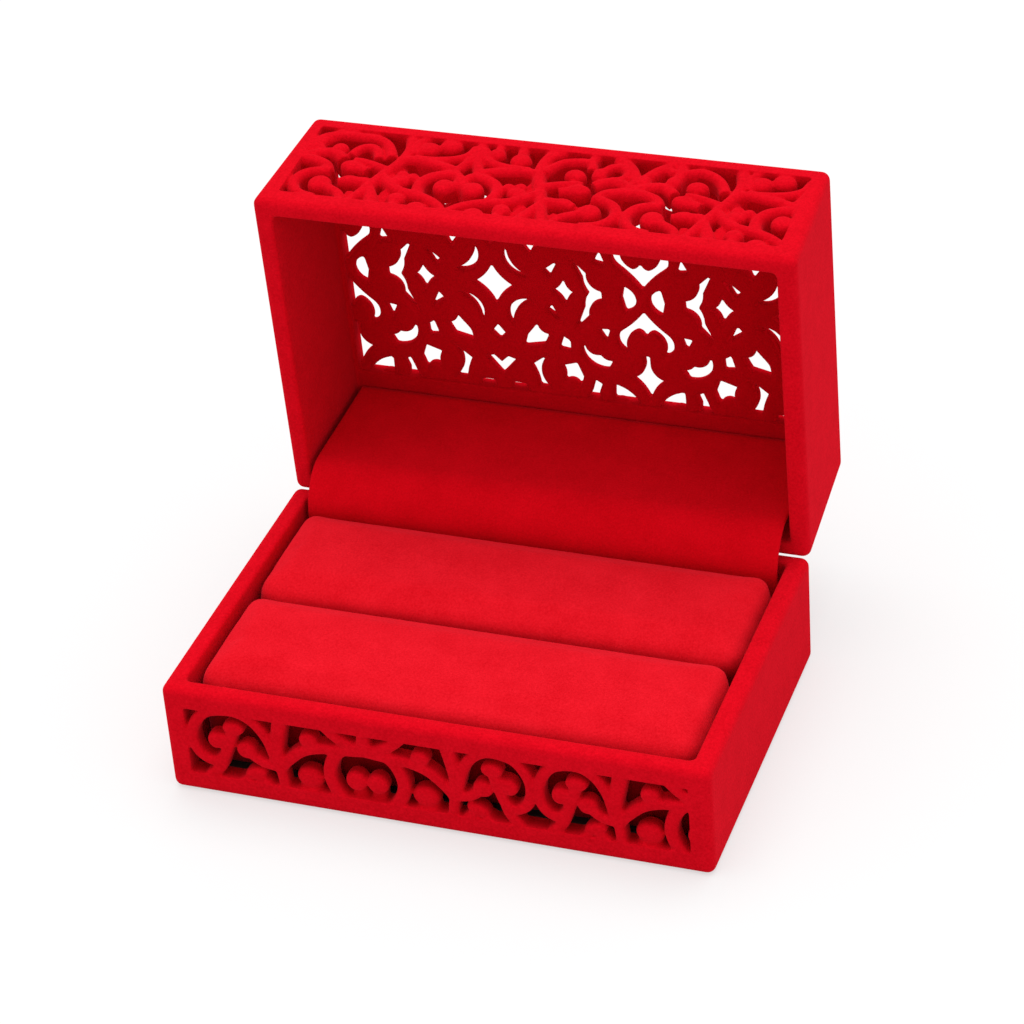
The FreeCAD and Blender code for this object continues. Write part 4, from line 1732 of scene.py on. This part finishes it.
@dataclass(frozen=True)
class BentStrip:
    """Strip that runs in the YZ plane along straight lines with round bends, centred on X.

    Args:
        corners: corners of the face that looks to the front, as y and z.
        radii: radius of that face at each inner corner.
        thickness: thickness, measured away from that face.
        half_width: half of the strip's width.
        edge: radius of its long edges.
        step: distance between points along the strip and across it.
    """

    corners: tuple[Point2, ...]
    radii: tuple[float, ...]
    thickness: float
    half_width: float
    edge: float
    step: float

    def path(self, step: float) -> list[tuple[Vector, Vector]]:
        """Points of the front face with the direction away from it.

        Args:
            step: distance between points.

        Returns:
            Pairs of a point and a unit vector, both in the YZ plane.
        """
        corners = [Vector(c) for c in self.corners]
        raw: list[Vector] = [corners[0]]
        for i, radius in enumerate(self.radii, start=1):
            back = (corners[i - 1] - corners[i]).normalized()
            ahead = (corners[i + 1] - corners[i]).normalized()
            half_turn = (math.pi - back.angle(ahead)) / 2
            centre = corners[i] + (back + ahead).normalized() * (radius / math.cos(half_turn))
            first = corners[i] + back * (radius * math.tan(half_turn)) - centre
            last = corners[i] + ahead * (radius * math.tan(half_turn)) - centre
            for k in range(13):
                raw.append(centre + first.normalized().slerp(last.normalized(), k / 12) * radius)
        raw.append(corners[-1])
        lengths = np.concatenate([[0.0], np.cumsum([(b - a).length for a, b in zip(raw, raw[1:])])])
        places = np.linspace(0.0, lengths[-1], max(2, round(lengths[-1] / step)) + 1)
        ys = np.interp(places, lengths, [p.x for p in raw])
        zs = np.interp(places, lengths, [p.y for p in raw])
        tangents = np.stack([np.gradient(ys), np.gradient(zs)], axis=1)
        tangents /= np.linalg.norm(tangents, axis=1, keepdims=True)
        return [(Vector((y, z)), Vector((t[1], -t[0]))) for y, z, t in zip(ys, zs, tangents)]

    def length(self) -> float:
        """Length of the strip along its front face."""
        points = [p for p, _ in self.path(LENGTH_STEP)]
        return sum((b - a).length for a, b in zip(points, points[1:]))

    def mesh(self) -> bpy.types.Mesh:
        """Closed mesh of the strip with rounded long edges.

        Returns:
            The strip's mesh.
        """
        half, edge = self.half_width, self.edge
        rounding = [math.radians(a) for a in (0, 22.5, 45, 67.5, 90)]
        flat = list(np.linspace(-1, 1, max(2, round(2 * half / self.step)) + 1)[1:-1] * (half - edge))
        ends = [(half - edge + edge * math.sin(a), edge - edge * math.cos(a)) for a in rounding]
        front = [(-x, d) for x, d in reversed(ends)] + [(x, 0.0) for x in flat] + ends
        outline = front + [(x, self.thickness - d) for x, d in reversed(front)]
        vertices = []
        for point, away in self.path(self.step):
            vertices += [(x, point.x + away.x * d, point.y + away.y * d) for x, d in outline]
        count = len(outline)
        faces = loft_faces(count, len(vertices) // count)
        for start in (0, len(vertices) - count):
            for i in range(count // 2 - 1):
                faces.append(tuple(start + k for k in (i, i + 1, count - 2 - i, count - 1 - i)))
        mesh = mesh_of(vertices, faces)
        with edited(mesh) as bm:
            bmesh.ops.remove_doubles(bm, verts=bm.verts, dist=FINE_MERGE)
            bmesh.ops.recalc_face_normals(bm, faces=bm.faces)
        shade_smooth(mesh)
        return mesh


@dataclass
class HingeCover:
    """Velvet flap glued behind the rear roll and inside the lid, which hides the hinge.

    Args:
        strip: the flap's path and size.
        bend_start: where it starts to follow the lid; not used.
        bend_end: where it follows the lid fully; not used.
    """

    strip: BentStrip = BentStrip(
        corners=(
            (23.6 * MM, 2.8 * MM),
            (23.6 * MM, 21.5 * MM),
            (28.038 * MM, 25.978 * MM),
            (51.337 * MM, 26.805 * MM),
        ),
        radii=(8.0 * MM, 6.0 * MM),
        thickness=0.8 * MM,
        half_width=40.8 * MM,
        edge=0.38 * MM,
        step=0.8 * MM,
    )
    bend_start: Point3 = (0.0, 23.6 * MM, 20.0 * MM)
    bend_end: Point3 = (0.0, 29.5 * MM, 26.5 * MM)

    def build(self) -> bpy.types.Object:
        """Build and dress the flap.

        Returns:
            The flap's piece, made in the open pose.
        """
        mesh = self.strip.mesh()
        dress(mesh, FLAP_VELVET.material())
        piece = new_object("velvet_hinge_cover", mesh)
        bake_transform(piece)
        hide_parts("hinge_cover_flap")
        flat = (2 * self.strip.half_width, self.strip.length())
        return piece


@dataclass
class SnapHinge:
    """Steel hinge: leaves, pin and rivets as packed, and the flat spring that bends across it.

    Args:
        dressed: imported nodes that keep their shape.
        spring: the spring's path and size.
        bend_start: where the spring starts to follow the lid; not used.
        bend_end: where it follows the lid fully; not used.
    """

    dressed: tuple[str, ...] = (
        "hinge_base_leaf",
        "hinge_base_rivets",
        "hinge_pin",
        "hinge_lid_leaf",
        "hinge_lid_rivets",
    )
    spring: BentStrip = BentStrip(
        corners=((25.6 * MM, 11.442 * MM), (25.6 * MM, 22.85 * MM), (36.981 * MM, 23.646 * MM)),
        radii=(3.0 * MM,),
        thickness=0.3 * MM,
        half_width=4.0 * MM,
        edge=0.1 * MM,
        step=0.5 * MM,
    )
    bend_start: Point3 = (0.0, 25.6 * MM, 19.0 * MM)
    bend_end: Point3 = (0.0, 30.5 * MM, 23.5 * MM)

    def build(self, nodes: dict[str, bpy.types.Object]) -> bpy.types.Object:
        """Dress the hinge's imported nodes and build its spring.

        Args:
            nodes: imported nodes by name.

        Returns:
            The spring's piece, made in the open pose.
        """
        steel = PLATED_STEEL.material()
        for name in self.dressed:
            dress(nodes[name].data, steel)
        mesh = self.spring.mesh()
        dress(mesh, steel)
        piece = new_object("snap_spring", mesh)
        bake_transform(piece)
        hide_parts("hinge_spring")
        return piece


@dataclass(frozen=True)
class Lamp:
    """Distant soft lamp.

    Args:
        name: its name.
        azimuth: its direction round the box, in degrees.
        elevation: its height over the floor, in degrees.
        strength: how strong it is.
        spread: how wide it looks, in degrees.
    """

    name: str
    azimuth: float
    elevation: float
    strength: float
    spread: float

    def place(self) -> None:
        """Put the lamp into the scene."""
        data = bpy.data.lights.new(self.name, "SUN")
        data.energy = self.strength
        data.angle = math.radians(self.spread)
        turn = (math.radians(90 - self.elevation), 0.0, math.radians(self.azimuth))
        new_object(self.name, data).rotation_euler = Euler(turn)


@dataclass
class Studio:
    """Pale floor, soft light and the camera of the photograph.

    Args:
        floor_half: half of the floor's width.
        floor_drop: how far it lies under the box.
        floor_albedo: its grey for the light that it throws on the box.
        floor_shade: its grey where it is seen, which takes the shadow.
        floor_glow: its own light where it is seen.
        ambient: strength of the light from all sides.
        lens: the camera's focal length, in millimetres.
        camera_place: where the camera stands.
        camera_turn: how it is turned, in degrees.
        lamps: the lamps.
    """

    floor_half: float = 6.0
    floor_drop: float = 0.05 * MM
    floor_albedo: float = 0.6
    floor_shade: float = 0.34
    floor_glow: float = 0.58
    ambient: float = 0.9
    lens: float = 125.257
    camera_place: Point3 = (0.17259, -0.42747, 0.35259)
    camera_turn: Point3 = (55.817, 3.7359, 18.845)
    lamps: tuple[Lamp, ...] = (
        Lamp("key", azimuth=-160.0, elevation=80.0, strength=1.3, spread=55.0),
        Lamp("fill", azimuth=60.0, elevation=30.0, strength=0.16, spread=90.0),
    )

    @staticmethod
    def shown(
        tree: bpy.types.NodeTree, lighting: bpy.types.NodeSocket, seen: bpy.types.NodeSocket
    ) -> bpy.types.NodeSocket:
        """Shader that is one for the light on the box and another where the background is seen.

        Args:
            tree: the tree.
            lighting: shader for the light on the box.
            seen: shader for camera, glossy and transmission rays.

        Returns:
            The mixed shader.
        """
        path = add_node(tree, "ShaderNodeLightPath")
        ray = path["Is Camera Ray"]
        for name in ("Is Glossy Ray", "Is Transmission Ray"):
            ray = calculated(tree, "MAXIMUM", ray, path[name])
        return add_node(tree, "ShaderNodeMixShader", {"Fac": ray, 1: lighting, 2: seen})[0]

    def light(self) -> None:
        """Build the world and the lamps."""
        world = bpy.data.worlds.new("studio")
        bpy.context.scene.world = world
        world.use_nodes = True
        tree = world.node_tree
        tree.nodes.clear()
        ambient, white = (
            add_node(tree, "ShaderNodeBackground", {"Color": (1.0, 1.0, 1.0, 1.0), "Strength": strength})[0]
            for strength in (self.ambient, 1.0)
        )
        add_node(tree, "ShaderNodeOutputWorld", {"Surface": self.shown(tree, ambient, white)})
        for lamp in self.lamps:
            lamp.place()

    def floor(self) -> None:
        """Build the white floor, which keeps the box's shadow."""
        h, z = self.floor_half, -self.floor_drop
        mesh = mesh_of([(-h, -h, z), (h, -h, z), (h, h, z), (-h, h, z)], [(0, 1, 2, 3)])
        material = bpy.data.materials.new("white_floor")
        material.use_nodes = True
        tree = material.node_tree
        tree.nodes.clear()
        lit, shaded = (
            add_node(tree, "ShaderNodeBsdfDiffuse", {"Color": (grey, grey, grey, 1.0)})[0]
            for grey in (self.floor_albedo, self.floor_shade)
        )
        glow = add_node(tree, "ShaderNodeEmission", {"Strength": self.floor_glow})[0]
        seen = add_node(tree, "ShaderNodeAddShader", {0: shaded, 1: glow})[0]
        add_node(tree, "ShaderNodeOutputMaterial", {"Surface": self.shown(tree, lit, seen)})
        dress(mesh, material)
        new_object("floor", mesh)

    def camera(self) -> None:
        """Put the camera at the photograph's angle."""
        data = bpy.data.cameras.new("camera")
        data.lens = self.lens
        data.sensor_width = 36.0
        data.clip_start, data.clip_end = 0.01, 50.0
        obj = new_object("camera", data)
        obj.location = self.camera_place
        obj.rotation_euler = Euler([math.radians(a) for a in self.camera_turn])
        bpy.context.scene.camera = obj

    def build(self) -> None:
        """Build the whole studio."""
        bpy.context.scene.view_settings.view_transform = "Standard"
        self.light()
        self.floor()
        self.camera()


def main() -> None:
    """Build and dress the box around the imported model."""
    logging.basicConfig(level=logging.INFO, format="%(name)s: %(message)s")
    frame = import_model()
    nodes = frame["nodes"]
    hinge = Hinge.of(frame["joints"][0])

    pieces = [
        FlockedTray().build(nodes),
        FlockedLid(hinge).build(nodes),
        LidTopPanel(hinge).build(nodes),
        RingRoll("front_ring_roll", "front_roll_velvet", "front_roll_foam").build(),
        RingRoll("rear_ring_roll", "rear_roll_velvet", "rear_roll_foam").build(),
        HingeCover().build(),
        SnapHinge().build(nodes),
    ]
    # The board's near-black card is painted shade for the gaps behind the scrolls.
    dress(nodes["insert_board"].data, BLACK_CARD.material())
    for piece in pieces:
        LOG.info("%s: %d faces", piece.name, len(piece.data.polygons))
    Studio().build()


if __name__ == "__main__":
    main()
